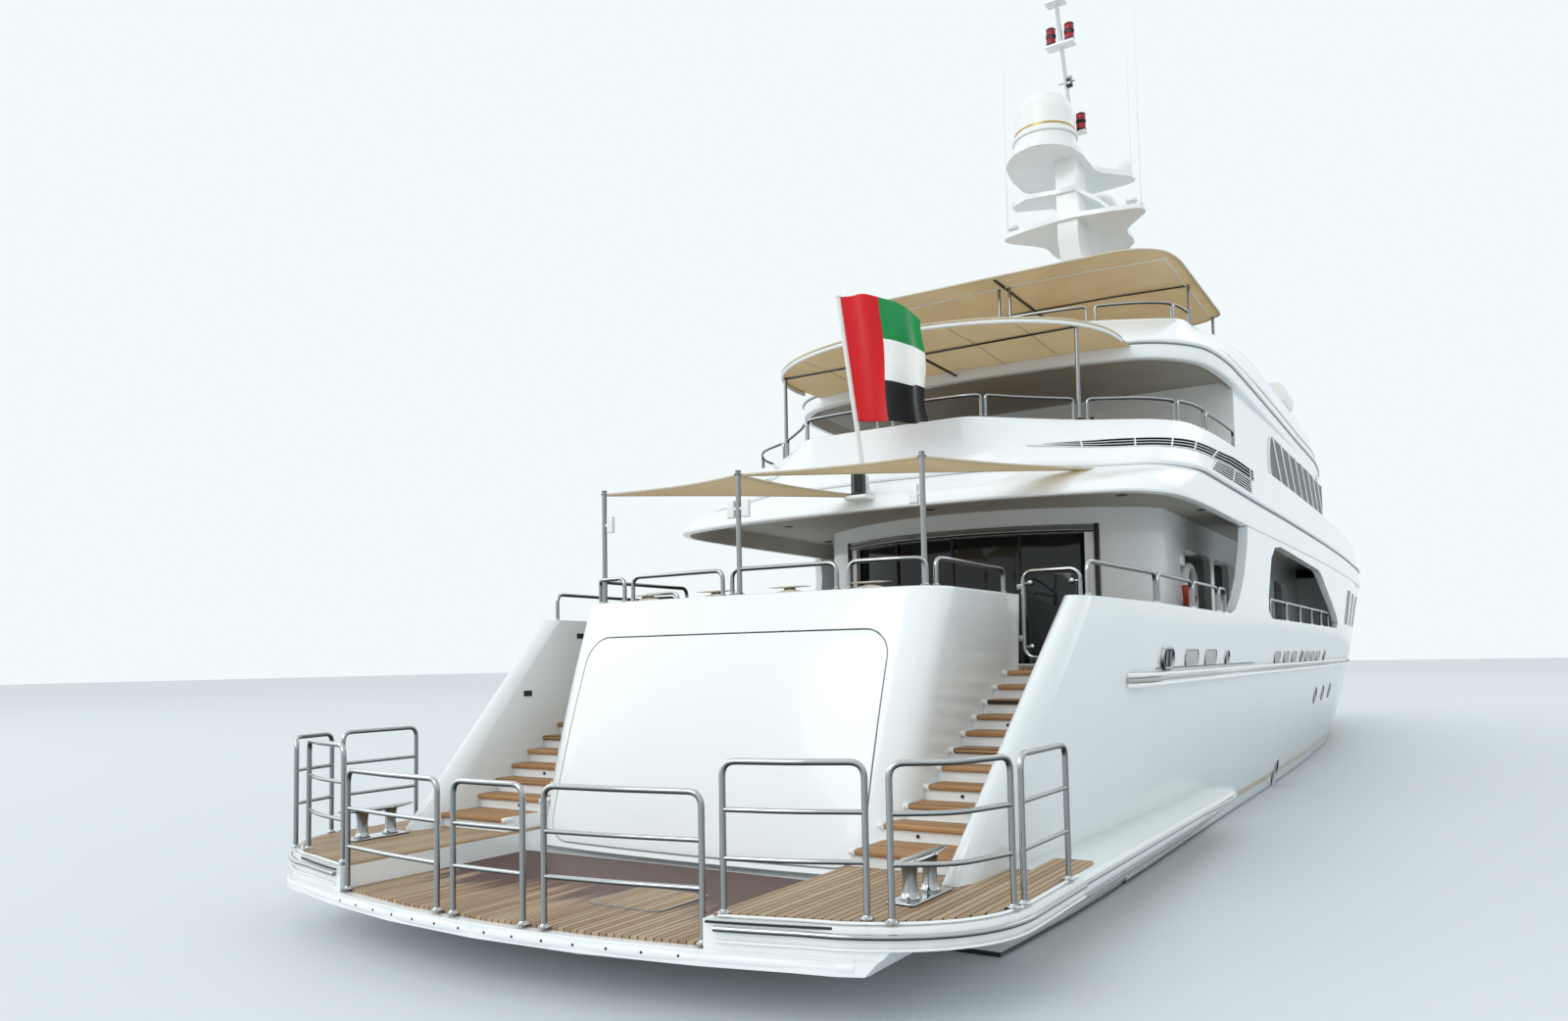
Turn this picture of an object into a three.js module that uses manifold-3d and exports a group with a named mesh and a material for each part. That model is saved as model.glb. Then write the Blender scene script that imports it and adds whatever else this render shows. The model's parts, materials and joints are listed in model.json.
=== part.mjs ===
import * as THREE from 'three';
import { mergeVertices } from 'three/addons/utils/BufferGeometryUtils.js';
import Module from 'manifold-3d';

const wasm = await Module();
wasm.setup();

// A 45 m motor yacht as a 1:2 scale model. Every size below is a real metre: distances run forward
// from the stern rail, port is positive, and heights are above the waterline.
const MODEL_SCALE = 0.5;
const MM_PER_METRE = 1000 * MODEL_SCALE;
const MIDSHIPS = 22;
const GAP = 0.0008;

// Heights
const LOW_TEAK = 0.555;
const STEP_TEAK = 0.78;
const MAIN_DECK = 2.45;
const BULWARK = 3.21;
const TRANSOM_TOP = 3.35;
const FASCIA_LOW = 4.62;
const UPPER_CEILING = 4.88;
const UPPER_DECK = 5.05;
const UPPER_BULWARK = 5.9;
const SUN_LOW = 7.1;
const SUN_CEILING = 7.24;
const SUN_DECK = 7.4;
const SUN_BULWARK = 8.1;
const AWNING_TOP = 7.3;
const FOREDECK = 3.95;
const TEAK = 0.025;

// Distances from the stern rail
const TRANSOM_FOOT = 2.56;
const WELL_FRONT = 6.1;
const SALOON_FRONT = 25.9;
const HOUSE_FRONT = 33;
const UPPER_HOUSE_AFT = 13;
const MAST_FOOT = 16.9;
const RADAR_X = 19.05;

// Half widths
const BULGE_HALF = 2.42;
const PLATFORM_HALF = 4.1;
const LOW_HALF = 2.1;
const SALOON_HALF = 2.95;

const RAIL_RADIUS = 0.025;
const HULL_WALL = 0.14;
const STEPS = 11;
const FIRST_NOSE = 1.98;
const SECOND_NOSE = 2.55;
const GOING = 0.3;

// Rows: distance from the stern rail, keel height, half beam at the sheer, fullness (0 is a box), sheer height
const STATIONS = [
  { x: 1.6, keel: -0.6, beam: 3.6, curve: 0.04, sheer: 4.61 },
  { x: 2.6, keel: -0.8, beam: 3.66, curve: 0.05, sheer: 4.61 },
  { x: 4.2, keel: -1.1, beam: 3.78, curve: 0.06, sheer: 4.61 },
  { x: 6.3, keel: -1.35, beam: 3.94, curve: 0.09, sheer: 4.61 },
  { x: 11, keel: -1.75, beam: 3.98, curve: 0.115, sheer: 4.61 },
  { x: 16, keel: -2, beam: 4.08, curve: 0.14, sheer: 4.61 },
  { x: 22, keel: -2.1, beam: 4.15, curve: 0.17, sheer: 4.61 },
  { x: 28, keel: -2.1, beam: 4.12, curve: 0.21, sheer: 4.61 },
  { x: 33, keel: -2.1, beam: 3.92, curve: 0.28, sheer: 4.61 },
  { x: 37, keel: -1.95, beam: 3.35, curve: 0.38, sheer: 4.75 },
  { x: 40, keel: -1.4, beam: 2.55, curve: 0.52, sheer: 4.98 },
  { x: 42, keel: 0.15, beam: 1.75, curve: 0.62, sheer: 5.16 },
  { x: 43.5, keel: 2.4, beam: 0.95, curve: 0.72, sheer: 5.32 },
  { x: 44.6, keel: 4.9, beam: 0.12, curve: 0.8, sheer: 5.42 },
];
const GIRTH = [0.012, 0.05, 0.13, 0.28, 0.42, 0.58, 0.72, 0.84, 1];

const FINISHES = {
  white_paint: { color: 0xf1f4f5, roughness: 0.22, metalness: 0 },
  teak: { color: 0xb98a5e, roughness: 0.65, metalness: 0 },
  steel: { color: 0xb9bcbf, roughness: 0.18, metalness: 1 },
  dark_glass: { color: 0x12171a, roughness: 0.08, metalness: 0 },
  beige_canvas: { color: 0xd8c3a0, roughness: 0.9, metalness: 0 },
  cream_cushion: { color: 0xf0ead9, roughness: 0.75, metalness: 0 },
  flag_cloth: { color: 0xd8141c, roughness: 0.8, metalness: 0 },
  bronze: { color: 0xb08d4c, roughness: 0.35, metalness: 1 },
  black_plastic: { color: 0x1b1b1d, roughness: 0.5, metalness: 0 },
};

// Turns loose triangles into a solid whose faces point out
function closedSolid(positions, triangles) {
  const kept = [];
  let volume = 0;
  const a = new THREE.Vector3();
  const b = new THREE.Vector3();
  const c = new THREE.Vector3();
  for (let i = 0; i < triangles.length; i += 3) {
    const [p, q, r] = [triangles[i], triangles[i + 1], triangles[i + 2]];
    if (p === q || q === r || r === p) continue;
    a.fromArray(positions, 3 * p);
    b.fromArray(positions, 3 * q);
    c.fromArray(positions, 3 * r);
    volume += a.dot(b.cross(c));
    kept.push(p, q, r);
  }
  if (volume < 0) kept.reverse();
  return new wasm.Manifold(new wasm.Mesh({
    numProp: 3,
    vertProperties: new Float32Array(positions),
    triVerts: new Uint32Array(kept),
  }));
}

function solidOf(geometry) {
  geometry.deleteAttribute('normal');
  geometry.deleteAttribute('uv');
  const merged = mergeVertices(geometry, 1e-5);
  return closedSolid(Array.from(merged.attributes.position.array), Array.from(merged.index.array));
}

function geometryOf(solid) {
  const mesh = solid.getMesh();
  const geometry = new THREE.BufferGeometry();
  geometry.setAttribute('position', new THREE.BufferAttribute(mesh.vertProperties, 3));
  geometry.setIndex(new THREE.BufferAttribute(mesh.triVerts, 1));
  return geometry;
}

const joined = (solids) => solids.reduce((whole, next) => whole.add(next));

// The same shape on the other side of the centreline
function mirrored(solid) {
  const geometry = geometryOf(solid).applyMatrix4(new THREE.Matrix4().makeScale(1, -1, 1));
  return closedSolid(Array.from(geometry.attributes.position.array), Array.from(geometry.index.array));
}

function onSide(solid, side) {
  return side > 0 ? solid : mirrored(solid);
}

const bothSides = (solid) => solid.add(mirrored(solid));

function box(x0, x1, y0, y1, z0, z1) {
  const geometry = new THREE.BoxGeometry(x1 - x0, y1 - y0, z1 - z0);
  geometry.translate((x0 + x1) / 2, (y0 + y1) / 2, (z0 + z1) / 2);
  return solidOf(geometry);
}

function shapeOf(points) {
  return new THREE.Shape(points.map(([u, v]) => new THREE.Vector2(u, v)));
}

// An outline seen from above, raised from z0 to z1
function plan(points, z0, z1) {
  const geometry = new THREE.ExtrudeGeometry(shapeOf(points), { depth: z1 - z0, bevelEnabled: false });
  return solidOf(geometry.translate(0, 0, z0));
}

// An outline seen from the side, as distance and height, from y0 to y1
function profile(points, y0, y1) {
  const geometry = new THREE.ExtrudeGeometry(shapeOf(points), { depth: y1 - y0, bevelEnabled: false });
  return solidOf(geometry.rotateX(Math.PI / 2).translate(0, y1, 0));
}

// An outline seen from astern, as offset and height, from x0 to x1
function section(points, x0, x1) {
  const geometry = new THREE.ExtrudeGeometry(shapeOf(points), { depth: x1 - x0, bevelEnabled: false });
  const turn = new THREE.Matrix4().makeBasis(
    new THREE.Vector3(0, 1, 0), new THREE.Vector3(0, 0, 1), new THREE.Vector3(1, 0, 0));
  return solidOf(geometry.applyMatrix4(turn).translate(x0, 0, 0));
}

// Rings of equal length joined to each other and closed at both ends; flat says how an end is seen
function loft(rings, flat) {
  const positions = rings.flat(2);
  const count = rings[0].length;
  const triangles = [];
  for (let ring = 0; ring + 1 < rings.length; ring += 1) {
    for (let k = 0; k < count; k += 1) {
      const p = ring * count + k;
      const q = ring * count + (k + 1) % count;
      const port = rings[ring][k][1] + rings[ring][(k + 1) % count][1] >= 0;
      if (port) triangles.push(p, q, q + count, p, q + count, p + count);
      else triangles.push(p, q, p + count, q, q + count, p + count);
    }
  }
  const [u, v] = { x: [1, 2], z: [0, 1] }[flat];
  [0, rings.length - 1].forEach((end) => {
    const outline = rings[end].map((point) => new THREE.Vector2(point[u], point[v]));
    const order = THREE.ShapeUtils.isClockWise(outline) ? -1 : 1;
    const side = end === 0 ? -1 : 1;
    THREE.ShapeUtils.triangulateShape(outline, []).forEach((face) => {
      const corner = face.map((k) => end * count + k);
      triangles.push(...(side * order > 0 ? corner : corner.reverse()));
    });
  });
  return closedSolid(positions, triangles);
}

// A path through given points, so that a bent tube keeps its corners where they are drawn
class BentPath extends THREE.Curve {
  constructor(points) {
    super();
    this.points = points.map((point) => new THREE.Vector3(...point));
  }

  getPoint(t) {
    const place = t * (this.points.length - 1);
    const index = Math.min(Math.floor(place + 1e-9), this.points.length - 2);
    return this.points[index].clone().lerp(this.points[index + 1], place - index);
  }

  getPointAt(t) {
    return this.getPoint(t);
  }

  getTangentAt(t) {
    const last = this.points.length - 1;
    const index = Math.round(t * last);
    const before = this.points[Math.max(index - 1, 0)];
    const after = this.points[Math.min(index + 1, last)];
    return after.clone().sub(before).normalize();
  }
}

function tube(points, radius, sides = 5) {
  const circle = [];
  for (let k = 0; k < sides; k += 1) {
    const angle = 2 * Math.PI * k / sides;
    circle.push([radius * Math.cos(angle), radius * Math.sin(angle)]);
  }
  return solidOf(new THREE.ExtrudeGeometry(shapeOf(circle), {
    steps: points.length - 1,
    extrudePath: new BentPath(points),
    bevelEnabled: false,
  }));
}

function rod(from, to, radius, sides = 5) {
  return tube([from, to], radius, sides);
}

// A round shape about an upright axis, from a profile of radius and height
function turned(points, x, y, z, sides = 12) {
  const lathe = new THREE.LatheGeometry(points.map(([r, h]) => new THREE.Vector2(r, h)), sides);
  return solidOf(lathe.rotateX(Math.PI / 2).translate(x, y, z));
}

// Replaces each inner corner of a path by an arc
function roundedPath(points, radius, steps = 1) {
  const path = [points[0]];
  for (let i = 1; i + 1 < points.length; i += 1) {
    const [before, corner, after] = [points[i - 1], points[i], points[i + 1]]
      .map((point) => new THREE.Vector3(...point));
    const start = corner.clone().add(before.sub(corner).setLength(radius));
    const end = corner.clone().add(after.sub(corner).setLength(radius));
    const curve = new THREE.QuadraticBezierCurve3(start, corner, end);
    curve.getPoints(steps).forEach((point) => path.push(point.toArray()));
  }
  path.push(points[points.length - 1]);
  return path;
}

// A rounded rectangle in two coordinates
function roundedBox(u0, u1, v0, v1, radius, steps = 3) {
  const points = [];
  const corners = [[u1 - radius, v1 - radius, 0], [u0 + radius, v1 - radius, 1],
    [u0 + radius, v0 + radius, 2], [u1 - radius, v0 + radius, 3]];
  corners.forEach(([u, v, quarter]) => {
    for (let k = 0; k <= steps; k += 1) {
      const angle = (quarter + k / steps) * Math.PI / 2;
      points.push([u + radius * Math.cos(angle), v + radius * Math.sin(angle)]);
    }
  });
  return points;
}

// A guard rail: two posts and a round-cornered top over a plan path, with level rails between
function hoop(feet, height, levels = []) {
  const first = feet[0];
  const last = feet[feet.length - 1];
  const top = feet.map(([x, y, z]) => [x, y, z + height]);
  const solids = [tube(roundedPath([first, ...top, last], 0.1), RAIL_RADIUS)];
  levels.forEach((level) => {
    solids.push(tube(feet.map(([x, y, z]) => [x, y, z + height * level]), RAIL_RADIUS * 0.8));
  });
  return joined(solids);
}

function stationAt(x) {
  const next = Math.max(1, STATIONS.findIndex((row) => row.x >= x));
  const [a, b] = [STATIONS[next - 1], STATIONS[next]];
  const t = (x - a.x) / (b.x - a.x);
  const mix = (key) => a[key] + (b[key] - a[key]) * t;
  return { keel: mix('keel'), beam: mix('beam'), curve: mix('curve'), sheer: mix('sheer') };
}

// Half beam of the hull's outside at a distance and height
function hullHalf(x, z) {
  const row = stationAt(x);
  return row.beam * ((z - row.keel) / (row.sheer - row.keel)) ** row.curve;
}

// The hull's outside, or with an inset the inside of its plating
function hullLoft(inset = 0) {
  return loft(STATIONS.map((row) => {
    const port = GIRTH.map((g) => {
      const half = Math.max(row.beam * g ** row.curve - inset, 0.01);
      return [row.x, half, row.keel + g * (row.sheer - row.keel)];
    });
    const starboard = port.map(([x, y, z]) => [x, -y, z]).reverse();
    return [[row.x, 0, row.keel], ...port, ...starboard];
  }), 'x');
}

const HULL = hullLoft();
const ABOVE = 9;

// Space inside the hull's plating between two stations and two heights
function insideHull(inset, x0, x1, z0, z1) {
  return hullLoft(inset).intersect(box(x0, x1, -5, 5, z0, z1));
}

// The aft face of the transom leans forward as it rises
function transomAft(z) {
  const rise = z - STEP_TEAK;
  return 2.42 + 0.27 * rise + 0.03 * rise * rise;
}

// The rounded transom housing, grown or shrunk by an offset
function transomLoft(offset, z0, z1, front) {
  const rings = [0.2, 1, 1.8, 2.6, 3.8].map((z) => {
    const half = BULGE_HALF - 0.1 * (TRANSOM_TOP - z) / (TRANSOM_TOP - LOW_TEAK) + offset;
    const radius = 0.45 + offset;
    const aft = transomAft(z) - offset;
    const port = [];
    [0, 0.9, 1.5].forEach((y) => port.push([aft + 0.03 * y * y, y, z]));
    for (let k = 0; k <= 4; k += 1) {
      const angle = k * Math.PI / 8;
      const x = aft + 0.1 + radius * (1 - Math.cos(angle));
      port.push([x, half - radius + radius * Math.sin(angle), z]);
    }
    port.push([front, half, z]);
    const starboard = port.slice(1).map(([x, y, height]) => [x, -y, height]).reverse();
    return [...port, ...starboard];
  });
  return loft(rings, 'z').intersect(box(0, front + 1, -4, 4, z0, z1));
}

const sideRows = (stops, halfAt) => stops.map((x) => [x, halfAt(x)]);
const deckHalf = (x) => hullHalf(x, FASCIA_LOW);

// Deck edges seen from above: distance from the stern rail and half width, from the centreline forward
const FASCIA_FOOT = [[6.39, 0], [6.42, 0.9], [6.45, 1.4], [6.5, 1.96], [6.75, 2.97], [6.99, 3.51],
  [7.6, 3.85], [8.83, 3.96], ...sideRows([13, 16, 22, 28, 33], deckHalf)];
const GUTTER = [[6.98, 0], [7.03, 0.9], [7.08, 1.4], [7.19, 2.05], [7.68, 2.85], [7.97, 3.51],
  [8.55, 3.83], [9.12, 3.93], ...sideRows([13, 16, 22, 28, 33], (x) => deckHalf(x) - 0.02)];
const UPPER_EDGE = [[7.08, 0], [7.1, 0.8], [7.17, 1.31], [7.7, 1.85], [8.3, 2.49], [8.87, 3.32],
  [9.45, 3.68], [10.86, 3.84], ...sideRows([13, 16, 22, 28, 33], (x) => deckHalf(x) - 0.12)];
const SUN_FOOT = [[9.75, 0], [9.79, 1.1], [9.9, 2.14], [10.2, 3.04], [10.97, 3.6], [12.4, 3.77],
  [16, 3.79], [20, 3.79], [24, 3.77], [27.2, 3.4]];
const SUN_EDGE = [[10.7, 0], [10.77, 1], [10.94, 1.87], [11.64, 3.09], [12.34, 3.25], [13.3, 3.49],
  [15, 3.65], [20, 3.66], [24, 3.62], [27.2, 3.2]];

const between = (rows, others, t) => rows.map(([x, y], i) => [
  x + (others[i][0] - x) * t, y + (others[i][1] - y) * t]);

// A whole deck edge at a height, moved out by an offset
function deckRing(rows, z, offset = 0) {
  const starboard = rows.slice(1).map(([x, y]) => [x, -y]).reverse();
  const whole = [...starboard, ...rows];
  const moved = whole.map((_, i) => offsetPoint(whole, i, offset));
  const half = starboard.length;
  return [...moved.slice(half), ...moved.slice(0, half)].map(([x, y]) => [x, y, z]);
}

function skeg() {
  const outline = [[9, -1.2], [10.6, -2.6], [31, -2.6], [36.4, -1.75], [36.4, -1.4], [31, -1.4]];
  return profile(outline, -0.18, 0.18);
}

// The fairing that carries the platform's edge along the hull side, undercut down to the waterline
function sponson() {
  // distance from the stern rail, half width, height of the top edge
  const rows = [[TRANSOM_FOOT, 4.07, 0.75], [4, 4.07, 0.745], [7, 4.07, 0.73], [9.6, 4.05, 0.71],
    [10.5, 3.88, 0.68], [11.2, 3.5, 0.6]];
  return loft(rows.map(([x, half, top]) => {
    const foot = hullHalf(x, 0) - 0.1;
    return [[x, 2.6, top], [x, 2.6, -0.1], [x, foot, -0.02], [x, Math.max(half - 0.08, foot + 0.01), top - 0.2],
      [x, half, top - 0.13], [x, half, top - 0.05], [x, half - 0.06, top]];
  }), 'x');
}

function rubRail() {
  const rows = [5.45, 6.5, 9, 13, 18, 23, 28, 31.5];
  return loft(rows.map((x, k) => {
    const half = hullHalf(x, 2.3);
    const out = k === 0 || k === rows.length - 1 ? 0.02 : 0.1;
    return [[x, half - 0.1, 2.25], [x, half + out, 2.28], [x, half + out, 2.37], [x, half - 0.1, 2.43]];
  }), 'x');
}

const SHAFT = { x: 5.3, y: 1.55, z: -1.92, slope: 0.068, radius: 0.07 };
const shaftAt = (x) => [x, SHAFT.y, SHAFT.z + SHAFT.slope * (x - SHAFT.x)];
const RUDDER = { x: 4.05, y: 1.55, top: -1.22, foot: -2.4, radius: 0.07 };

// The shaft's bearing boss on its two-legged strut, and the tube where the shaft leaves the hull
function shaftBrackets() {
  const boss = rod(shaftAt(5.75), shaftAt(6.25), 0.14, 10);
  const legs = [1.15, 1.95].map((y) => tube([shaftAt(6), [6.05, y, -1.2]], 0.06, 6));
  const sleeve = rod(shaftAt(8.6), shaftAt(10.2), 0.15, 10);
  const bore = rod(shaftAt(5.5), shaftAt(9.9), SHAFT.radius + 0.004, 10);
  return { solid: joined([boss, ...legs, sleeve]), bore };
}

// Distance of the stern wings' raked edge at a height
function wingEdge(z) {
  return 1.55 + (z - STEP_TEAK) * 1.0175;
}

// Cuts the wings' raked edge round. Rows: depth inside the plating, distance cut off the edge
function wingRounding() {
  const round = [[-0.4, 0.6], [-0.02, 0.34], [0, 0.26], [0.025, 0.16], [0.055, 0.08], [0.09, 0.025], [0.13, 0],
    [0.17, 0.02], [0.21, 0.08], [0.24, 0.18], [0.265, 0.32], [0.4, 0.33]];
  const rings = [STEP_TEAK, 1.6, 2.4, BULWARK + 0.02].map((z) => {
    const edge = wingEdge(z);
    const half = hullHalf(edge, z);
    return [[-1, half + 0.4, z], ...round.map(([depth, cut]) => [edge + cut, half - depth, z]), [-1, half - 0.4, z]];
  });
  return loft(rings, 'z');
}

function hullBody() {
  const brackets = shaftBrackets();
  const rudderBore = rod([RUDDER.x, RUDDER.y, -1.3], [RUDDER.x, RUDDER.y, -0.6], RUDDER.radius + 0.004, 10);
  const low = profile([[-1, -6], [TRANSOM_FOOT, -6], [TRANSOM_FOOT, STEP_TEAK], [-1, STEP_TEAK]], -6, 6);
  const rake = profile([[-1, STEP_TEAK], [wingEdge(STEP_TEAK), STEP_TEAK], [wingEdge(ABOVE), ABOVE],
    [-1, ABOVE]], -6, 6);
  return HULL.add(skeg())
    .add(bothSides(sponson().add(brackets.solid).add(rubRail())))
    .subtract(bothSides(brackets.bore.add(rudderBore)))
    .subtract(low)
    .subtract(rake)
    .subtract(bothSides(wingRounding()))
    .subtract(insideHull(0.26, 1, WELL_FRONT, STEP_TEAK, ABOVE))
    .subtract(box(TRANSOM_FOOT - 0.1, WELL_FRONT, -LOW_HALF, LOW_HALF, LOW_TEAK, 1))
    .subtract(insideHull(HULL_WALL, WELL_FRONT - 0.01, HOUSE_FRONT, MAIN_DECK, ABOVE))
    .subtract(insideHull(HULL_WALL, HOUSE_FRONT - 0.01, 43.9, FOREDECK, ABOVE));
}

const HULL_BODY = hullBody();

function hull() {
  const below = box(0, 46, -6, 6, -6, STEP_TEAK - GAP).add(box(WELL_FRONT, 46, -6, 6, 0, MAIN_DECK))
    .add(box(HOUSE_FRONT, 46, -6, 6, 0, FOREDECK));
  return HULL_BODY.intersect(below);
}

// Openings in the topsides: the aft deck's, the side deck's and the forward cabin windows
function topsideCuts() {
  const aftDeck = [[3, BULWARK], [10.9, BULWARK], [11.2, 3.28], [11.5, 3.5], [11.75, 3.85], [11.87, 4.25],
    [11.87, ABOVE], [3, ABOVE]];
  const sideDeck = [[14.45, BULWARK], [25, BULWARK], [25.25, 3.36], [24.6, 3.54], [22.2, 4], [20.9, 4.3],
    [20.2, 4.42], [14.9, 4.52], [14.35, 4.46], [14.05, 4.25], [14, 3.6], [14.1, 3.34]];
  const cuts = [profile(aftDeck, -6, 6), profile(sideDeck, -6, 6)];
  [27, 28.9, 30.8].forEach((x) => {
    cuts.push(profile(roundedBox(x, x + 1.2, 3.35, 4.3, 0.15, 2), -6, 6));
  });
  return joined(cuts);
}

function topsides() {
  const above = box(0, HOUSE_FRONT - GAP, -6, 6, MAIN_DECK + GAP, FASCIA_LOW - GAP)
    .add(box(HOUSE_FRONT - 0.5, 46, -6, 6, FOREDECK + GAP, ABOVE))
    .add(box(0, WELL_FRONT - GAP, -6, 6, STEP_TEAK + GAP, MAIN_DECK + 0.1));
  const bulkhead = section([[SALOON_HALF + GAP, MAIN_DECK + GAP], [4, MAIN_DECK + GAP],
    [4, FASCIA_LOW - GAP], [SALOON_HALF + GAP, FASCIA_LOW - GAP]], 25.95, 26.05);
  const inside = insideHull(HULL_WALL - 0.02, WELL_FRONT, HOUSE_FRONT, MAIN_DECK + GAP, FASCIA_LOW - GAP);
  const frontWall = inside.intersect(box(HOUSE_FRONT - 0.15, HOUSE_FRONT - GAP, -6, 6, 0, ABOVE));
  const shell = HULL_BODY.intersect(above).subtract(topsideCuts());
  return shell.add(bothSides(bulkhead).intersect(inside)).add(frontWall);
}

// Glass behind the forward cabin's windows, along the inside of the plating
function cabinGlass() {
  return insideHull(HULL_WALL + GAP, 26.6, 32.4, 3.2, 4.45)
    .subtract(insideHull(HULL_WALL + 0.03, 26, 33, 3, 5)).intersect(box(26, 33, 0, 5, 3, 5));
}

function deckTeak() {
  const deck = insideHull(HULL_WALL + 0.01, WELL_FRONT + 0.02, 25.9, MAIN_DECK + GAP, MAIN_DECK + TEAK);
  return deck.subtract(plan(saloonPlan(-0.005), 2, 3));
}

function foredeck() {
  return insideHull(HULL_WALL + 0.01, HOUSE_FRONT + 0.02, 43.3, FOREDECK + GAP, FOREDECK + TEAK);
}

// The platform's edge seen from above, moved in or out, up to a given distance forward
function platformEdge(offset, front) {
  const half = PLATFORM_HALF + offset;
  const port = [0, 1.1, 2.1, 2.8].map((y) => [-0.37 - offset + 0.052 * y * y, y]);
  const bend = new THREE.QuadraticBezierCurve(
    new THREE.Vector2(0.1 - offset, 3.1), new THREE.Vector2(0.45 - offset, half), new THREE.Vector2(1.35, half));
  bend.getPoints(6).forEach((point) => port.push([point.x, point.y]));
  port.push([front, half]);
  const starboard = port.slice(1).map(([x, y]) => [x, -y]).reverse();
  return [...port, ...starboard];
}

function swimPlatform() {
  const front = TRANSOM_FOOT - GAP;
  const body = plan(platformEdge(-0.03, front), 0.42, STEP_TEAK - TEAK);
  const lip = plan(platformEdge(0.04, front), 0.43, 0.53);
  const low = plan(platformEdge(-0.11, front + 1), LOW_TEAK - TEAK, 2)
    .intersect(box(-1, 4, -LOW_HALF, LOW_HALF, 0, 2));
  const aftGap = box(-1, 1, -LOW_HALF, LOW_HALF, LOW_TEAK - TEAK, 2);
  // The skirt stops short of the corners, where the edge is only a thin band
  const corner = section([[3.18, 0.3], [5, 0.3], [5, 0.6], [3.43, 0.6]], -1, 3);
  return body.add(lip).subtract(low).subtract(aftGap).subtract(bothSides(corner));
}

function lowTeak() {
  const slab = plan(platformEdge(-0.12, TRANSOM_FOOT - 0.3), LOW_TEAK - TEAK + GAP, LOW_TEAK);
  return slab.intersect(box(-1, 2.3, -LOW_HALF + 0.01, LOW_HALF - 0.01, 0, 2));
}

function sideTeak() {
  const slab = plan(platformEdge(-0.13, 3.2), STEP_TEAK - TEAK + GAP, STEP_TEAK);
  const hullFoot = HULL_BODY.intersect(box(0, 6, -6, 6, STEP_TEAK - 0.2, STEP_TEAK + 0.2));
  const walk = slab.intersect(box(-1, TRANSOM_FOOT, LOW_HALF + 0.02, 5, 0, 2));
  const strip = slab.intersect(box(TRANSOM_FOOT - 0.01, 3.2, 3.62, 5, 0, 2));
  return walk.add(strip).subtract(hullFoot).subtract(transomLoft(0.01, 0.3, 2, 6)).intersect(box(-1, 3.3, 0, 5, 0, STEP_TEAK - GAP));
}

// Posts' feet along the platform's aft edge, seen from above
const edgeAt = (y) => -0.28 + 0.052 * y * y;
const HOOP_LEVELS = [0.36, 0.68];

function centreRails() {
  const z = LOW_TEAK;
  const spans = [[2.06, 0.58], [0.37, -0.44], [-0.66, -2.06]];
  const strip = platformStrip(spans.flat(), z);
  return joined([strip, ...spans.map(([a, b]) => hoop(
    [[edgeAt(a), a, z], [edgeAt((a + b) / 2), (a + b) / 2, z], [edgeAt(b), b, z]], 1.1, HOOP_LEVELS))]);
}

function platformStrip(stops, z) {
  const outer = stops.map((y) => [edgeAt(y) - 0.04, y]);
  const inner = stops.map((y) => [edgeAt(y) + 0.04, y]).reverse();
  return plan([...outer, ...inner], z + GAP, z + 0.02);
}

function sideRails() {
  const z = STEP_TEAK;
  const runs = [
    [[0, 2.21], [0.12, 2.75], [0.32, 3.22]],
    [[0.31, 3.42], [0.55, 3.82], [1.13, 4.0]],
    [[1.29, 4.02], [2.31, 4.03]],
  ];
  const path = runs.flat();
  const outer = path.map(([x, y], i) => offsetPoint(path, i, 0.035));
  const inner = path.map(([x, y], i) => offsetPoint(path, i, -0.035)).reverse();
  const strip = plan([...outer, ...inner], z + GAP, z + 0.02);
  return joined([strip, ...runs.map((run) => hoop(run.map(([x, y]) => [x, y, z]), 1.1, HOOP_LEVELS))]);
}

// A point of a plan path moved square to the path
function offsetPoint(path, index, distance) {
  const before = path[Math.max(index - 1, 0)];
  const after = path[Math.min(index + 1, path.length - 1)];
  const along = new THREE.Vector2(after[0] - before[0], after[1] - before[1]).normalize();
  return [path[index][0] - along.y * distance, path[index][1] + along.x * distance];
}

const GATE = { x: 5.6, hinge: 2.5, reach: 0.72, low: 2.58, high: 3.62, lugs: [2.78, 3.38] };
const HINGES = [-0.9, 0.7];
const DOOR = { half: 2, low: 0.64, high: 2.92, thick: 0.1, clear: 0.012 };

// The transom door's block: the outer skin between two heights, to a depth
function doorBlock(half, low, high, depth, proud = 0) {
  const skin = transomLoft(proud, 0.4, 3.4, 6).subtract(transomLoft(-depth, 0.3, 3.5, 6.1));
  return skin.intersect(section(roundedBox(-half, half, low, high, 0.3, 3), 1, 5));
}

function transom() {
  const outer = transomLoft(0, LOW_TEAK + 0.03, TRANSOM_TOP, WELL_FRONT - GAP)
    .subtract(bothSides(box(1, 7, LOW_HALF - GAP, 3, 0, STEP_TEAK + GAP)));
  const garage = transomLoft(-0.22, 0.4, 2.25, 7);
  const cockpit = transomLoft(-0.24, MAIN_DECK, 3.8, 7);
  const gateway = box(5.75, 7, -3, 3, MAIN_DECK, 4);
  const doorway = doorBlock(DOOR.half, DOOR.low, DOOR.high, DOOR.thick + 0.03, 0.05)
    .add(box(1.5, 3.6, -DOOR.half + 0.12, DOOR.half - 0.12, DOOR.low + 0.1, 2.15));
  const sofa = plan([[2.9, -2.3], [4.35, -2.3], [4.35, 2.3], [2.9, 2.3]], MAIN_DECK - 0.05, 2.83)
    .intersect(transomLoft(-0.16, 2, 3, 7));
  return outer.subtract(garage).subtract(cockpit).subtract(gateway).subtract(doorway).add(sofa)
    .add(transomBrackets());
}

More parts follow.
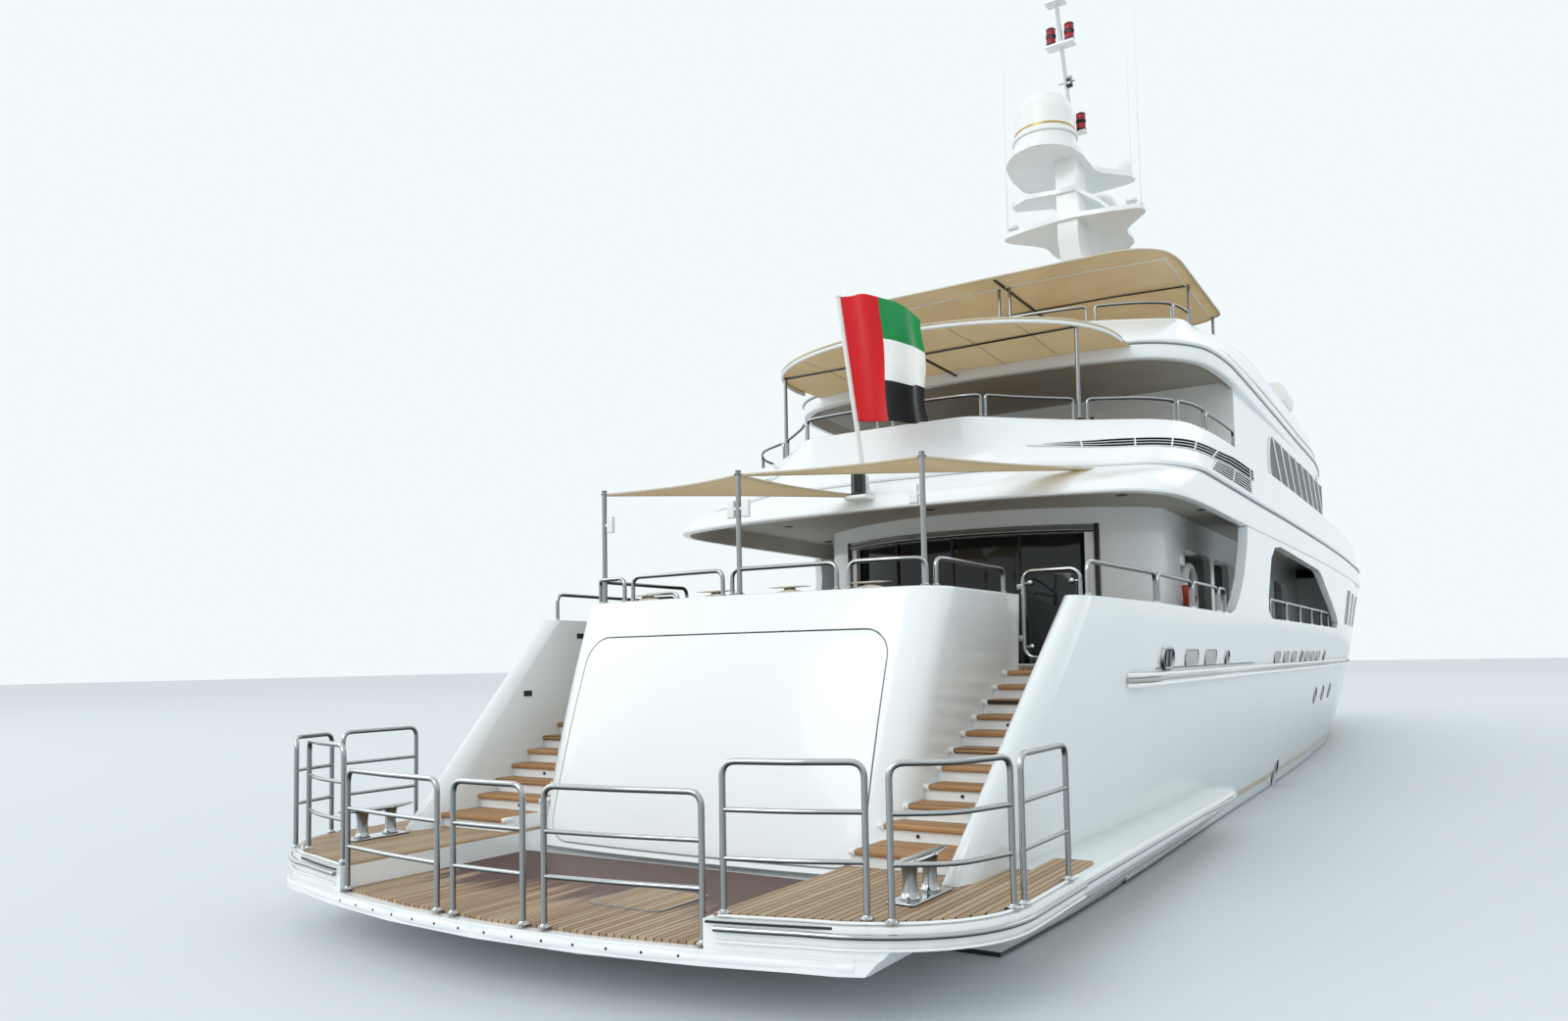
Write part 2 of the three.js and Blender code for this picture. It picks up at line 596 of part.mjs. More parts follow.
function transomDoor() {
  const lugs = HINGES.map((y) => box(3.09, 3.137, y, y + 0.1 - GAP, 2.86, 2.94)
    .add(box(3.09, 3.2, y, y + 0.1 - GAP, 2.86, 2.9)));
  return joined([doorBlock(DOOR.half - DOOR.clear, DOOR.low + DOOR.clear, DOOR.high - DOOR.clear, DOOR.thick),
    ...lugs]);
}

// The fixed halves of the transom door's hinges, and the brackets that the gates turn on
function transomBrackets() {
  const knuckles = HINGES.map((y) => box(3.09, 3.13, y + 0.1, y + 0.2, 2.896, 2.97)
    .add(box(3.09, 3.25, y + 0.1, y + 0.2, 2.945, 2.97)));
  const shelves = GATE.lugs.map((z) => box(GATE.x - 0.015, GATE.x + 0.015, 2.35, GATE.hinge - 0.03,
    z - 0.06, z - GAP));
  return joined([...knuckles, bothSides(joined(shelves))]);
}

function sofaCushions() {
  const seat = plan(roundedBox(3.56, 4.33, -2.05, 2.05, 0.2, 2), 2.83 + GAP, 2.99);
  const back = plan(roundedBox(3.56, 3.84, -2.05, 2.05, 0.12, 2), 2.95, 3.4);
  return seat.add(back).subtract(transomLoft(-0.235, 2, 4, 7).subtract(transomLoft(-0.25, 2, 4, 7)))
    .intersect(transomLoft(-0.25, 2, 4, 7));
}

// Steps from the platform to the main deck, beside the transom
function stairs() {
  const riser = (MAIN_DECK - STEP_TEAK) / STEPS;
  const nosing = 0.03;
  const outline = [[WELL_FRONT - GAP, STEP_TEAK + GAP], [FIRST_NOSE + nosing, STEP_TEAK + GAP]];
  for (let i = 0; i < STEPS; i += 1) {
    const nose = i === 0 ? FIRST_NOSE : SECOND_NOSE + (i - 1) * GOING;
    const top = STEP_TEAK + (i + 1) * riser;
    outline.push([nose + nosing, top - 0.045], [nose, top - 0.045], [nose, top]);
    if (i + 1 < STEPS) outline.push([SECOND_NOSE + i * GOING + nosing, top]);
  }
  outline.push([WELL_FRONT - GAP, MAIN_DECK]);
  return profile(outline, LOW_HALF + 0.06, 3.9)
    .intersect(insideHull(0.26 + GAP, 1.7, WELL_FRONT, 0.7, 3))
    .subtract(transomLoft(GAP, 0.3, 3.5, 6.2));
}

function gate() {
  const outer = roundedBox(GATE.hinge + 0.015, GATE.hinge + GATE.reach, GATE.low, GATE.high, 0.1, 2);
  const inner = roundedBox(GATE.hinge + 0.06, GATE.hinge + GATE.reach - 0.045, GATE.low + 0.045,
    GATE.high - 0.045, 0.07, 2);
  const frame = section(outer, GATE.x - 0.02, GATE.x + 0.02).subtract(section(inner, 5, 6));
  const pane = section(inner, GATE.x - 0.006, GATE.x + 0.006);
  const lugs = GATE.lugs.map((z) => box(GATE.x - 0.015, GATE.x + 0.015, GATE.hinge - 0.045,
    GATE.hinge + 0.03, z, z + 0.08));
  return joined([frame, pane, ...lugs]);
}

// Three posts on the transom's top carry the sunshades; low hoops stand between them
const SHADE_POSTS = [[3.58, 2.1], [3.42, -0.03], [3.665, -2.18]];
const SHADE_TOP = 4.76;

function transomRails() {
  const z = TRANSOM_TOP;
  const port = [[5.57, 2.32], [3.86, 2.32], [3.68, 2.26], [3.56, 2.12], [3.5, 1.9], [3.45, 1.0]];
  const path = [...port, [3.42, 0], ...port.map(([x, y]) => [x, -y]).reverse()];
  const spans = [[[5.52, 2.32], [3.9, 2.32], [3.74, 2.29]], [[3.65, 2.23], [3.56, 2.12], [3.485, 1.7]],
    [[3.475, 1.56], [3.42, 0.2]], [[3.42, 0.07], [3.45, -1.26]], [[3.46, -1.4], [3.5, -1.9], [3.62, -2.22]],
    [[3.72, -2.28], [3.9, -2.32], [5.52, -2.32]]];
  const posts = SHADE_POSTS.map(([x, y]) => rod([x, y, z + 0.01], [x, y, SHADE_TOP], 0.03, 8));
  const hoops = spans.map((feet) => hoop(feet.map(([x, y]) => [x, y, z + 0.01]), 0.28));
  return joined([railStrip(path, z, 0.045), ...posts, ...hoops]);
}

// A thin plate along an open plan path, on which a rail's posts stand
function railStrip(path, z, width = 0.03) {
  const left = path.map((_, i) => offsetPoint(path, i, width));
  const right = path.map((_, i) => offsetPoint(path, i, -width)).reverse();
  return plan([...left, ...right], z + GAP, z + 0.02);
}

// Hoops on the bulwark beside the stern and in the side deck's opening
function bulwarkRails(spans) {
  const z = BULWARK;
  const y = (x) => hullHalf(x, z) - 0.07;
  const path = spans.flat().map((x) => [x, y(x)]);
  return joined([railStrip(path, z), ...spans.map(([a, b]) => hoop([[a, y(a), z], [b, y(b), z]], 0.36))]);
}

const AFT_RAILS = [[4.36, 6.63], [6.75, 8.51], [8.65, 10.21], [10.35, 10.8]];
const SIDE_RAILS = [[14.75, 16.5], [16.6, 18.4], [18.5, 20.2], [20.3, 21.9], [22, 23.6]];

// The deckhouse, its curved front centred on the sliding doors' pivot
const DOOR_ARC = { x: 13, radius: 3.7, sweep: 0.6 };

const DOOR_TOP = 4.56;

function arcPoints(radius, from, to, steps) {
  const points = [];
  for (let k = 0; k <= steps; k += 1) {
    const angle = from + (to - from) * k / steps;
    points.push([DOOR_ARC.x - radius * Math.cos(angle), radius * Math.sin(angle)]);
  }
  return points;
}

function saloonPlan(inset) {
  const half = SALOON_HALF - inset;
  const arc = arcPoints(DOOR_ARC.radius - inset, -0.6, 0.6, 10);
  return [...arc, [10.4, half - 0.25], [10.8, half], [SALOON_FRONT, half], [SALOON_FRONT, -half],
    [10.8, -half], [10.4, -half + 0.25]];
}

function saloon() {
  const floor = MAIN_DECK + GAP;
  const walls = plan(saloonPlan(0), floor, UPPER_CEILING - GAP).subtract(plan(saloonPlan(0.12), 2, 5)
    .intersect(box(0, SALOON_FRONT - 0.12, -4, 4, 0, 9)));
  const doorway = profile([[8, MAIN_DECK + 0.05], [10.4, MAIN_DECK + 0.05], [10.4, 4.5], [8, 4.5]], -1.98, 1.98);
  const windows = [12.2, 14.6, 17, 19.4, 21.8].map((x) => profile(roundedBox(x, x + 2.1, 3.1, 4.35, 0.12, 2), -4, 4));
  const runner = plan([...arcPoints(3.64, -0.93, 0.93, 16), ...arcPoints(3.5, 0.93, -0.93, 16)],
    DOOR_TOP + GAP, DOOR_TOP + 0.07);
  return walls.subtract(doorway).subtract(joined(windows)).add(runner);
}

function saloonGlass() {
  return box(12, 24.1, SALOON_HALF - 0.145, SALOON_HALF - 0.12 - GAP, 3, 4.45);
}

function saloonDoor() {
  const outer = DOOR_ARC.radius - 0.14;
  const leaf = [...arcPoints(outer, 0.003, DOOR_ARC.sweep, 6), ...arcPoints(outer - 0.04, DOOR_ARC.sweep, 0.003, 6)];
  return plan(leaf, MAIN_DECK + 0.012, DOOR_TOP);
}

// Fascia, gutter and bulwark of the upper deck, grown by an offset
function upperDeckBody(offset) {
  return loft([
    deckRing(FASCIA_FOOT, FASCIA_LOW - offset, offset),
    deckRing(GUTTER, 5.1, offset),
    deckRing(GUTTER, 5.18, offset - 0.07),
    deckRing(UPPER_EDGE, UPPER_BULWARK + offset, offset)], 'z');
}

function upperDeck() {
  const well = loft([deckRing(UPPER_EDGE, UPPER_DECK, -0.2), deckRing(UPPER_EDGE, 7, -0.2)], 'z');
  const ceiling = loft([
    deckRing(FASCIA_FOOT, 4, -0.12),
    deckRing(between(FASCIA_FOOT, GUTTER, 0.5), UPPER_CEILING, -0.2)], 'z')
    .intersect(box(0, HOUSE_FRONT - 0.4, -6, 6, 0, UPPER_CEILING));
  const nose = plan([[32.9, -3.8], [34.6, -2.6], [35.3, 0], [34.6, 2.6], [32.9, 3.8]], FASCIA_LOW, UPPER_BULWARK);
  const noseWell = plan([[30, -3.55], [32.9, -3.55], [34.4, -2.4], [35, 0], [34.4, 2.4], [32.9, 3.55],
    [30, 3.55]], UPPER_DECK, 7);
  const slot = loft([
    deckRing(GUTTER, 5.3, 0.4), deckRing(GUTTER, 5.42, 0.4)], 'z').subtract(loft([
    deckRing(between(GUTTER, UPPER_EDGE, 0.1), 5.2, -0.12),
    deckRing(between(GUTTER, UPPER_EDGE, 0.45), 5.5, -0.12)], 'z'));
  const louvres = slot.intersect(bothSides(box(0, 12.6, 2, 6, 5, 6)));
  return upperDeckBody(0).add(nose).subtract(well).subtract(noseWell).subtract(ceiling).subtract(louvres);
}

function upperRails() {
  return railsAlong(UPPER_EDGE.slice(0, 9), UPPER_BULWARK, 0.3,
    [[0.15, 2.22], [2.32, 3.9], [4.1, 5.68], [5.82, 6.52], [6.66, 7.6]]);
}

// Hoops on one strip along a deck edge, port and starboard. A hoop's ends count the edge's corners from the
// centreline, so 2.5 is halfway from the third corner to the fourth
function railsAlong(rows, z, height, spans) {
  const ring = deckRing(rows, z, -0.1);
  const port = ring.slice(0, rows.length);
  const mirrored = (path) => path.map(([x, y, up]) => [x, -y, up]);
  const place = (at) => {
    const k = Math.min(Math.floor(at), port.length - 2);
    return port[k].map((value, axis) => value + (port[k + 1][axis] - value) * (at - k));
  };
  const feet = spans.map(([from, to]) => [place(from),
    ...port.slice(Math.floor(from) + 1, Math.ceil(to)), place(to)]);
  const strip = railStrip([...mirrored(port).reverse(), ...port.slice(1)].map(([x, y]) => [x, y]), z);
  return joined([strip, ...feet.flatMap((path) => [hoop(path, height), hoop(mirrored(path), height)])]);
}

// The upper house: sky lounge at nearly full beam, then the wheelhouse with its raked front
function upperHousePlan(z, inset) {
  const rake = (z - UPPER_DECK) * 0.55;
  const wide = (x) => deckHalf(x) - 0.345 - inset;
  const half = 3 - inset;
  const port = [[UPPER_HOUSE_AFT + inset, wide(13)], [16, wide(16)], [20, wide(20)], [23.4, wide(23.4)],
    [24.2, half + 0.15], [24.8, half], [29 - rake * 0.6, half], [30.7 - rake - inset, half - 0.9],
    [31.4 - rake - inset, 0.9], [31.5 - rake - inset, 0]];
  const starboard = port.slice(0, -1).map(([x, y]) => [x, -y]).reverse();
  return [...port, ...starboard].map(([x, y]) => [x, y, z]);
}

function upperHouseLoft(inset, z0, z1) {
  return loft([upperHousePlan(4, inset), upperHousePlan(9, inset)], 'z').intersect(box(0, 40, -5, 5, z0, z1));
}

const PANES = { low: 5.9, high: 6.8 };

function upperHouse() {
  const walls = upperHouseLoft(0, UPPER_DECK + GAP, SUN_CEILING - GAP)
    .subtract(upperHouseLoft(0.12, UPPER_DECK - 1, SUN_CEILING + 1));
  const cuts = [];
  for (let k = 0; k < 7; k += 1) {
    const x = 16.6 + k * 0.98;
    cuts.push(box(x, x + 0.9, -6, 6, PANES.low, PANES.high));
  }
  [25.2, 27].forEach((x) => cuts.push(profile(roundedBox(x, x + 1.5, PANES.low, PANES.high, 0.08, 2), -6, 6)));
  [-1.9, -0.95, 0, 0.95, 1.9].forEach((y) => {
    cuts.push(box(28.6, 33, y - 0.42, y + 0.42, PANES.low, PANES.high));
  });
  cuts.push(box(12, 14, -1.3, 1.3, UPPER_DECK + 0.06, 6.95));
  return walls.subtract(joined(cuts));
}

function upperGlass() {
  return upperHouseLoft(0.12 + GAP, PANES.low - 0.08, PANES.high + 0.08)
    .subtract(upperHouseLoft(0.15, PANES.low - 1, PANES.high + 1));
}

const LOUNGE_FRONT = 24.8;
const aftOf = (x, solid) => solid.intersect(box(0, x, -6, 6, 0, 10));
const forwardOf = (x, solid) => solid.intersect(box(x, 40, -6, 6, 0, 10));

function loungeWalls() {
  const runner = box(12.92, 13.05, -1.4, 1.45, 6.98 + GAP, 7.06);
  return aftOf(LOUNGE_FRONT, upperHouse()).add(runner);
}

function loungeGlass() {
  const aft = UPPER_HOUSE_AFT + 0.12 + GAP;
  return aftOf(24.6, upperGlass())
    .subtract(box(12, 13.3, -0.02, 1.36, 5, 8))
    .add(box(aft, aft + 0.03, -1.36, -0.03, UPPER_DECK + GAP, 7))
    .add(box(aft, aft + 0.03, -1.36, 1.5, 6.96, 7.06))
    .add(box(aft, aft + 0.03, 1.36, 1.5, 6.8, 7.06));
}

function upperDoor() {
  return box(UPPER_HOUSE_AFT - 0.06, UPPER_HOUSE_AFT - 0.015, -0.04, 1.36, UPPER_DECK + 0.012, 6.98);
}

// Edge and bulwark of the sun deck, grown by an offset
function sunDeckBody(offset) {
  return loft([
    deckRing(SUN_FOOT, SUN_LOW - offset, offset),
    deckRing(SUN_FOOT, 7.38, offset - 0.02),
    deckRing(between(SUN_FOOT, SUN_EDGE, 0.15), 7.44, offset - 0.02),
    deckRing(SUN_EDGE, SUN_BULWARK, offset)], 'z');
}

function sunDeck() {
  const well = loft([deckRing(SUN_EDGE, SUN_DECK, -0.2), deckRing(SUN_EDGE, 9, -0.2)], 'z');
  const brow = plan([[27.1, -3.33], [29.6, -2.6], [31, 0], [29.6, 2.6], [27.1, 3.33]], SUN_LOW, SUN_DECK);
  const screen = loft([
    [[27.1, -3, SUN_DECK - 0.1], [28.6, -2.3, SUN_DECK - 0.1], [29.2, 0, SUN_DECK - 0.1],
      [28.6, 2.3, SUN_DECK - 0.1], [27.1, 3, SUN_DECK - 0.1]],
    [[26.9, -2.9, 8.3], [27.8, -2.1, 8.3], [28.2, 0, 8.3], [27.8, 2.1, 8.3], [26.9, 2.9, 8.3]]], 'z');
  const ceiling = upperHouseLoft(-0.02, 6, SUN_CEILING).add(
    plan([[10.3, -2], [11.3, -3.4], [13.2, -3.55], [13.2, 3.55], [11.3, 3.4], [10.3, 2]], 6, SUN_CEILING));
  const cockpit = box(26, 27.3, -2.9, 2.9, SUN_DECK, 9);
  return sunDeckBody(0).add(brow).add(screen).subtract(well).subtract(cockpit).subtract(ceiling);
}

function sunRails() {
  return railsAlong(SUN_EDGE.slice(0, 5), SUN_BULWARK, 0.25, [[0.15, 1.95], [2.07, 3], [3.12, 3.9]]);
}

// A half oval canopy from the sun deck's edge over the upper deck's aft end
function awningPlan(offset) {
  const points = [[10.4, -2.74 - offset]];
  for (let k = -8; k <= 8; k += 1) {
    const angle = k * Math.PI / 16;
    points.push([9.5 - (2.3 + offset) * Math.cos(angle) ** 0.85, (2.74 + offset) * Math.sin(angle)]);
  }
  points.push([10.4, 2.74 + offset]);
  return points;
}

function awning() {
  return plan(awningPlan(-0.03), AWNING_TOP - 0.03, AWNING_TOP).subtract(sunDeckBody(GAP));
}

function awningFrame() {
  const z = AWNING_TOP - 0.0535;
  const rim = awningPlan(0).map(([x, y]) => [x, y, z]);
  const spine = rod([7.2, 0, z], [9.9, 0, z], 0.025);
  const bar = rod([8.4, -2.5, z], [8.4, 2.5, z], 0.025);
  const poles = [-2.42, 2.42].map((y) => rod([8.375, y, UPPER_BULWARK + 0.02 + GAP], [8.375, y, z], 0.03));
  return joined([tube(rim, 0.028), spine, bar, ...poles]).subtract(sunDeckBody(GAP));
}

function biminiPlan(inset) {
  return roundedBox(11.5 + inset, 16.5 - inset, -3.05 + inset, 3.05 - inset, 0.9 - inset, 4);
}

const CROWN = [[-3.05, 9.25], [-2.9, 9.32], [-1.5, 9.38], [0, 9.4], [1.5, 9.38], [2.9, 9.32], [3.05, 9.25]];

function bimini() {
  const under = CROWN.map(([y, z]) => [y, z - 0.03]).reverse();
  return section([...CROWN, ...under], 11.4, 16.6).intersect(plan(biminiPlan(0), 9, 9.6));
}

function biminiFrame() {
  const drop = 0.03 + RAIL_RADIUS + GAP;
  const arch = CROWN.slice(1, -1).map(([y, z]) => [y, z - drop]);
  const bars = [12.1, 13.7, 15.9].map((x) => tube(arch.map(([y, z]) => [x, y, z]), RAIL_RADIUS));
  const edges = [-2.84, 2.84].map((y) => rod([12.05, y, 9.31 - drop], [15.95, y, 9.31 - drop], RAIL_RADIUS));
  const poles = [[12.1, 0, 9.33], [13.7, -2.88, 9.25], [13.7, 2.88, 9.25], [15.9, -2.88, 9.25], [15.9, 2.88, 9.25]]
    .map(([x, y, z]) => rod([x, y, SUN_DECK + GAP], [x, y, z], 0.028));
  return joined([...bars, ...edges, ...poles]);
}

// A shade between three corners
function sail(corners) {
  const thick = 0.012;
  const [a, b, c] = corners.map((corner) => new THREE.Vector3(...corner));
  const centre = a.clone().add(b).add(c).divideScalar(3);
  const sag = 0.12;
  const ring = [];
  [[a, b], [b, c], [c, a]].forEach(([from, to]) => {
    ring.push(from);
    ring.push(from.clone().lerp(to, 0.5).lerp(centre, sag));
  });
  const low = ring.map((point) => [point.x, point.y, point.z - thick]);
  const high = ring.map((point) => point.toArray());
  const posts = SHADE_POSTS.map(([x, y]) => rod([x, y, 4], [x, y, 5], 0.03 + GAP, 8));
  return loft([low, high], 'z').subtract(joined(posts)).subtract(upperDeckBody(GAP));
}

const STAFF = [[6.6, 0, 4.7], [5.86, 0, 7.47]];

function ensignStaff() {
  const bracket = box(6.2, 6.7, -0.17, 0.17, 4.76, 4.82);
  const lantern = turned([[0, 0], [0.1, 0], [0.1, 0.34], [0.06, 0.4], [0, 0.4]], 6.32, 0, 4.81, 8);
  return joined([bracket, lantern, tube(STAFF, 0.032, 8)]).subtract(upperDeckBody(GAP));
}

// The flag hangs from the raked staff to starboard
function ensign() {
  const [[footX, , footZ], [topX, , topZ]] = STAFF;
  const staffX = (z) => footX + (topX - footX) * (z - footZ) / (topZ - footZ);
  const outline = [[-0.01, 5.83], [-0.01, 7.42], [-0.6, 7.3], [-1.03, 7.08], [-1.25, 6.5], [-1.22, 6.02],
    [-1.06, 5.68], [-0.6, 5.74]];
  const faces = [-0.01, 0.01].map((side) => outline.map(([y, z]) => [staffX(z) + side, y, z]));
  return loft(faces, 'x').subtract(tube(STAFF, 0.032 + GAP, 8));
}

// A level plate of the mast, port half given from aft to forward and mirrored unless its starboard half is given
function mastPlate(port, z, thick, starboard = port.map(([x, y]) => [x, -y])) {
  return plan([...port, ...starboard.slice().reverse()], z - thick, z);
}

function mast() {
  const column = profile([[16.9, SUN_DECK + GAP], [18.5, SUN_DECK + GAP], [17.6, 10.6], [16.9, 11.5],
    [16.7, 13.3], [16, 13.3], [16.05, 11.5], [16.72, 10.2]], -0.22, 0.22);
  const top = mastPlate([[15, 0.4], [15.08, 0.66], [15.22, 0.88], [15.42, 1.05], [15.67, 1.19], [16, 1.28],
    [16.5, 1.34], [17.1, 1.32], [17.42, 1.15], [17.5, 0.9], [17.42, 0.65], [17.6, 0.42], [18.1, 0.2]], 13.4, 0.12,
  [[15.03, 0.22], [15.12, 0.03], [15.27, -0.15], [15.5, -0.3], [16, -0.4], [16.8, -0.4], [17.08, -0.46],
    [17.4, -0.76], [17.65, -0.98], [17.85, -1.03], [18, -0.95], [18.06, -0.7], [18.08, -0.3]]);
  const second = mastPlate([[15.95, 0.2], [15.85, 0.85], [16.1, 1.25], [16.4, 1.25], [16.7, 0.5], [17.6, 0.3],
    [18.2, 0.36], [18.75, 0.36], [19, 0.1]], 12.65, 0.1, [[15.95, -0.2], [16.9, -0.45], [17.7, -0.55],
    [18.3, -0.55], [18.8, -0.5], [19, -0.25]]);
  const low = mastPlate([[15.95, 0.2], [16.08, 0.9], [16.22, 1.4], [16.32, 1.52], [16.45, 1.55], [16.6, 1.5],
    [17.1, 1.08], [17.3, 0.94], [17.5, 0.9], [17.85, 0.92], [18.15, 0.88], [18.45, 0.68], [18.65, 0.35]], 12.05, 0.1);
  const radarFoot = box(16.8, 19.25, -0.2, 0.2, 11.3, 11.4);
  const radarPost = turned([[0, 0], [0.14, 0], [0.14, 0.3 - GAP], [0, 0.3 - GAP]], RADAR_X, 0, 11.39, 8);
  return joined([column, top, second, low, radarFoot, radarPost]);
}

// A satellite dome: drum, flange, straight wall and round cap
function dome(x, y, z, radius, foot, wall) {
  const points = [[0, 0], [radius * 1.03, 0], [radius * 1.03, foot * 0.8], [radius * 1.09, foot * 0.84],
    [radius * 1.09, foot], [radius, foot + 0.03], [radius, foot + wall]];
  for (let k = 1; k <= 5; k += 1) {
    const angle = k * Math.PI / 10;
    points.push([k === 5 ? 0 : radius * Math.cos(angle), foot + wall + radius * 0.95 * Math.sin(angle)]);
  }
  return turned(points, x, y, z, 14);
}

function lightMast() {
  const at = (z) => MAST_FOOT - 0.329 * (z - 13.3);
  const pole = rod([at(13.3), 0, 13.3], [at(16.95), 0, 16.95], 0.05, 8);
  const plates = [[15.8, 0.31], [16.62, 0.21]].map(([z, half]) => box(at(z) - 0.2, at(z) + 0.08, -half, half,
    z, z + 0.04));
  const lamps = [[0.2, 15.83], [-0.2, 15.83], [-0.12, 16.65]].map(([y, z]) => turned(
    [[0, 0], [0.08, 0], [0.08, 0.4], [0, 0.4]], at(z) - 0.1, y, z, 6));
  return joined([pole, ...plates, ...lamps]);
}

function radarScanner() {
  return box(RADAR_X - 0.07, RADAR_X + 0.07, -0.9, 0.9, 11.69, 11.83);
}

function propeller() {
  const hub = rod(shaftAt(5.0), shaftAt(5.5), 0.13, 8);
  const shaft = rod(shaftAt(5.2), shaftAt(9.85), SHAFT.radius, 8);
  const axis = new THREE.Vector3(1, 0, SHAFT.slope).normalize();
  const blades = [];
  for (let k = 0; k < 5; k += 1) {
    const blade = new THREE.Shape();
    blade.moveTo(-0.09, 0.05);
    blade.lineTo(-0.22, 0.36);
    blade.lineTo(-0.12, 0.6);
    blade.lineTo(0.08, 0.64);
    blade.lineTo(0.2, 0.42);
    blade.lineTo(0.09, 0.05);
    const geometry = new THREE.ExtrudeGeometry(blade, { depth: 0.03, bevelEnabled: false });
    geometry.translate(0, 0, -0.015).rotateY(0.5);
    geometry.rotateX(2 * Math.PI * k / 5);
    blades.push(geometry);
  }
  const centre = shaftAt(SHAFT.x - 0.05);
  const lean = new THREE.Quaternion().setFromUnitVectors(new THREE.Vector3(1, 0, 0), axis);
  const solids = blades.map((geometry) => {
    geometry.applyQuaternion(lean).translate(...centre);
    return solidOf(geometry);
  });
  return joined([hub, shaft, ...solids]);
}

function rudder() {
  const blade = profile([[3.55, RUDDER.top], [4.45, RUDDER.top], [4.35, RUDDER.foot], [3.75, RUDDER.foot]],
    RUDDER.y - 0.045, RUDDER.y + 0.045);
  return blade.add(rod([RUDDER.x, RUDDER.y, RUDDER.top - 0.3], [RUDDER.x, RUDDER.y, -0.65], RUDDER.radius, 8));
}

// A pair of splayed horns on a base plate
function bitts() {
  const z = STEP_TEAK;
  const base = box(0.8, 1.5, 3.12, 3.36, z + GAP, z + 0.03);
  const posts = [0.97, 1.33].map((x) => rod([x, 3.24, z + 0.02], [x, 3.24, z + 0.3], 0.06, 8));
  const horn = box(0.67, 1.63, 3.16, 3.32, z + 0.28, z + 0.33);
  return joined([base, ...posts, horn]);
}

function liferaft() {
  const barrel = section(roundedBox(3.08, 3.62, SUN_BULWARK + 0.09, SUN_BULWARK + 0.63, 0.2, 3), 20, 21.3);
  const feet = [20.2, 21].map((x) => box(x, x + 0.1, 3.18, 3.52, SUN_BULWARK + GAP, SUN_BULWARK + 0.12));
  return joined([barrel, ...feet]);
}

function windlass() {
  const z = FOREDECK + TEAK + GAP;
  const base = plan(roundedBox(39.2, 40.9, -0.75, 0.75, 0.15, 2), z, z + 0.05);
  const drums = [-0.45, 0.45].map((y) => turned(
    [[0, 0], [0.2, 0], [0.12, 0.12], [0.12, 0.3], [0.2, 0.4], [0, 0.42]], 40.2, y, z + 0.04, 10));
  const motor = box(39.4, 39.85, -0.3, 0.3, z + 0.04, z + 0.35);
  return joined([base, ...drums, motor]);
}

const [portPost, centrePost, starboardPost] = SHADE_POSTS.map(([x, y]) => [x, y, SHADE_TOP - 0.1]);

// Rows: node name, solid, finish
const PIECES = [
  ['hull', hull(), 'white_paint'],
  ['topsides', topsides(), 'white_paint'],
  ['main_deck_teak', deckTeak(), 'teak'],
  ['foredeck_teak', foredeck(), 'teak'],
  ['swim_platform', swimPlatform(), 'white_paint'],
  ['platform_teak_centre', lowTeak(), 'teak'],
  ['rails_platform_centre', centreRails(), 'steel'],
  ['transom', transom(), 'white_paint'],
  ['transom_door', transomDoor(), 'white_paint'],
  ['sofa_cushions', sofaCushions(), 'cream_cushion'],
  ['rails_transom', transomRails(), 'steel'],
  ['saloon_walls', saloon(), 'white_paint'],
  ['upper_deck', upperDeck(), 'white_paint'],
  ['rails_upper', upperRails(), 'steel'],
  ['upper_lounge', loungeWalls(), 'white_paint'],
  ['upper_lounge_glass', loungeGlass(), 'dark_glass'],
  ['wheelhouse', forwardOf(LOUNGE_FRONT + GAP, upperHouse()), 'white_paint'],
  ['wheelhouse_glass', forwardOf(24.9, upperGlass()), 'dark_glass'],
  ['upper_lounge_door', upperDoor(), 'dark_glass'],
  ['sun_deck', sunDeck(), 'white_paint'],
  ['rails_sun', sunRails(), 'steel'],
  ['awning', awning(), 'beige_canvas'],
  ['awning_frame', awningFrame(), 'steel'],
  ['bimini', bimini(), 'beige_canvas'],
  ['bimini_frame', biminiFrame(), 'steel'],
  ['shade_sail_port', sail([portPost, [6.78, 0.1, 4.9], centrePost]), 'beige_canvas'],
  ['shade_sail_starboard', sail([centrePost, [7.65, -2.9, 5.06], starboardPost]), 'beige_canvas'],
  ['ensign_staff', ensignStaff(), 'steel'],
  ['ensign', ensign(), 'flag_cloth'],
  ['mast', mast().add(lightMast()), 'white_paint'],
  ['satcom_dome_port', dome(15.82, 0.36, 13.4 + GAP, 0.634, 0.32, 0.42), 'white_paint'],
  ['satcom_dome_starboard', dome(18.58, -0.02, 12.65 + GAP, 0.4, 0.1, 0.3), 'white_paint'],
  ['radar_scanner', radarScanner(), 'white_paint'],
  ['windlass', windlass(), 'steel'],
];
const SIDE_PIECES = [
  ['platform_teak', sideTeak(), 'teak'],
  ['rails_platform', sideRails(), 'steel'],
  ['stairs', stairs(), 'white_paint'],
  ['gate', gate(), 'dark_glass'],
  ['rails_bulwark', bulwarkRails(AFT_RAILS), 'steel'],
  ['rails_side_deck', bulwarkRails(SIDE_RAILS), 'steel'],
  ['saloon_glass', saloonGlass(), 'dark_glass'],
  ['saloon_door', saloonDoor(), 'dark_glass'],
  ['cabin_glass', cabinGlass(), 'dark_glass'],
  ['propeller', propeller(), 'bronze'],
  ['rudder', rudder(), 'bronze'],
  ['bitts', bitts(), 'steel'],
  ['liferaft', liferaft(), 'white_paint'],
];

const yacht = new THREE.Group();
yacht.name = 'motor_yacht';
yacht.scale.setScalar(MM_PER_METRE);
yacht.position.x = -MIDSHIPS * MM_PER_METRE;

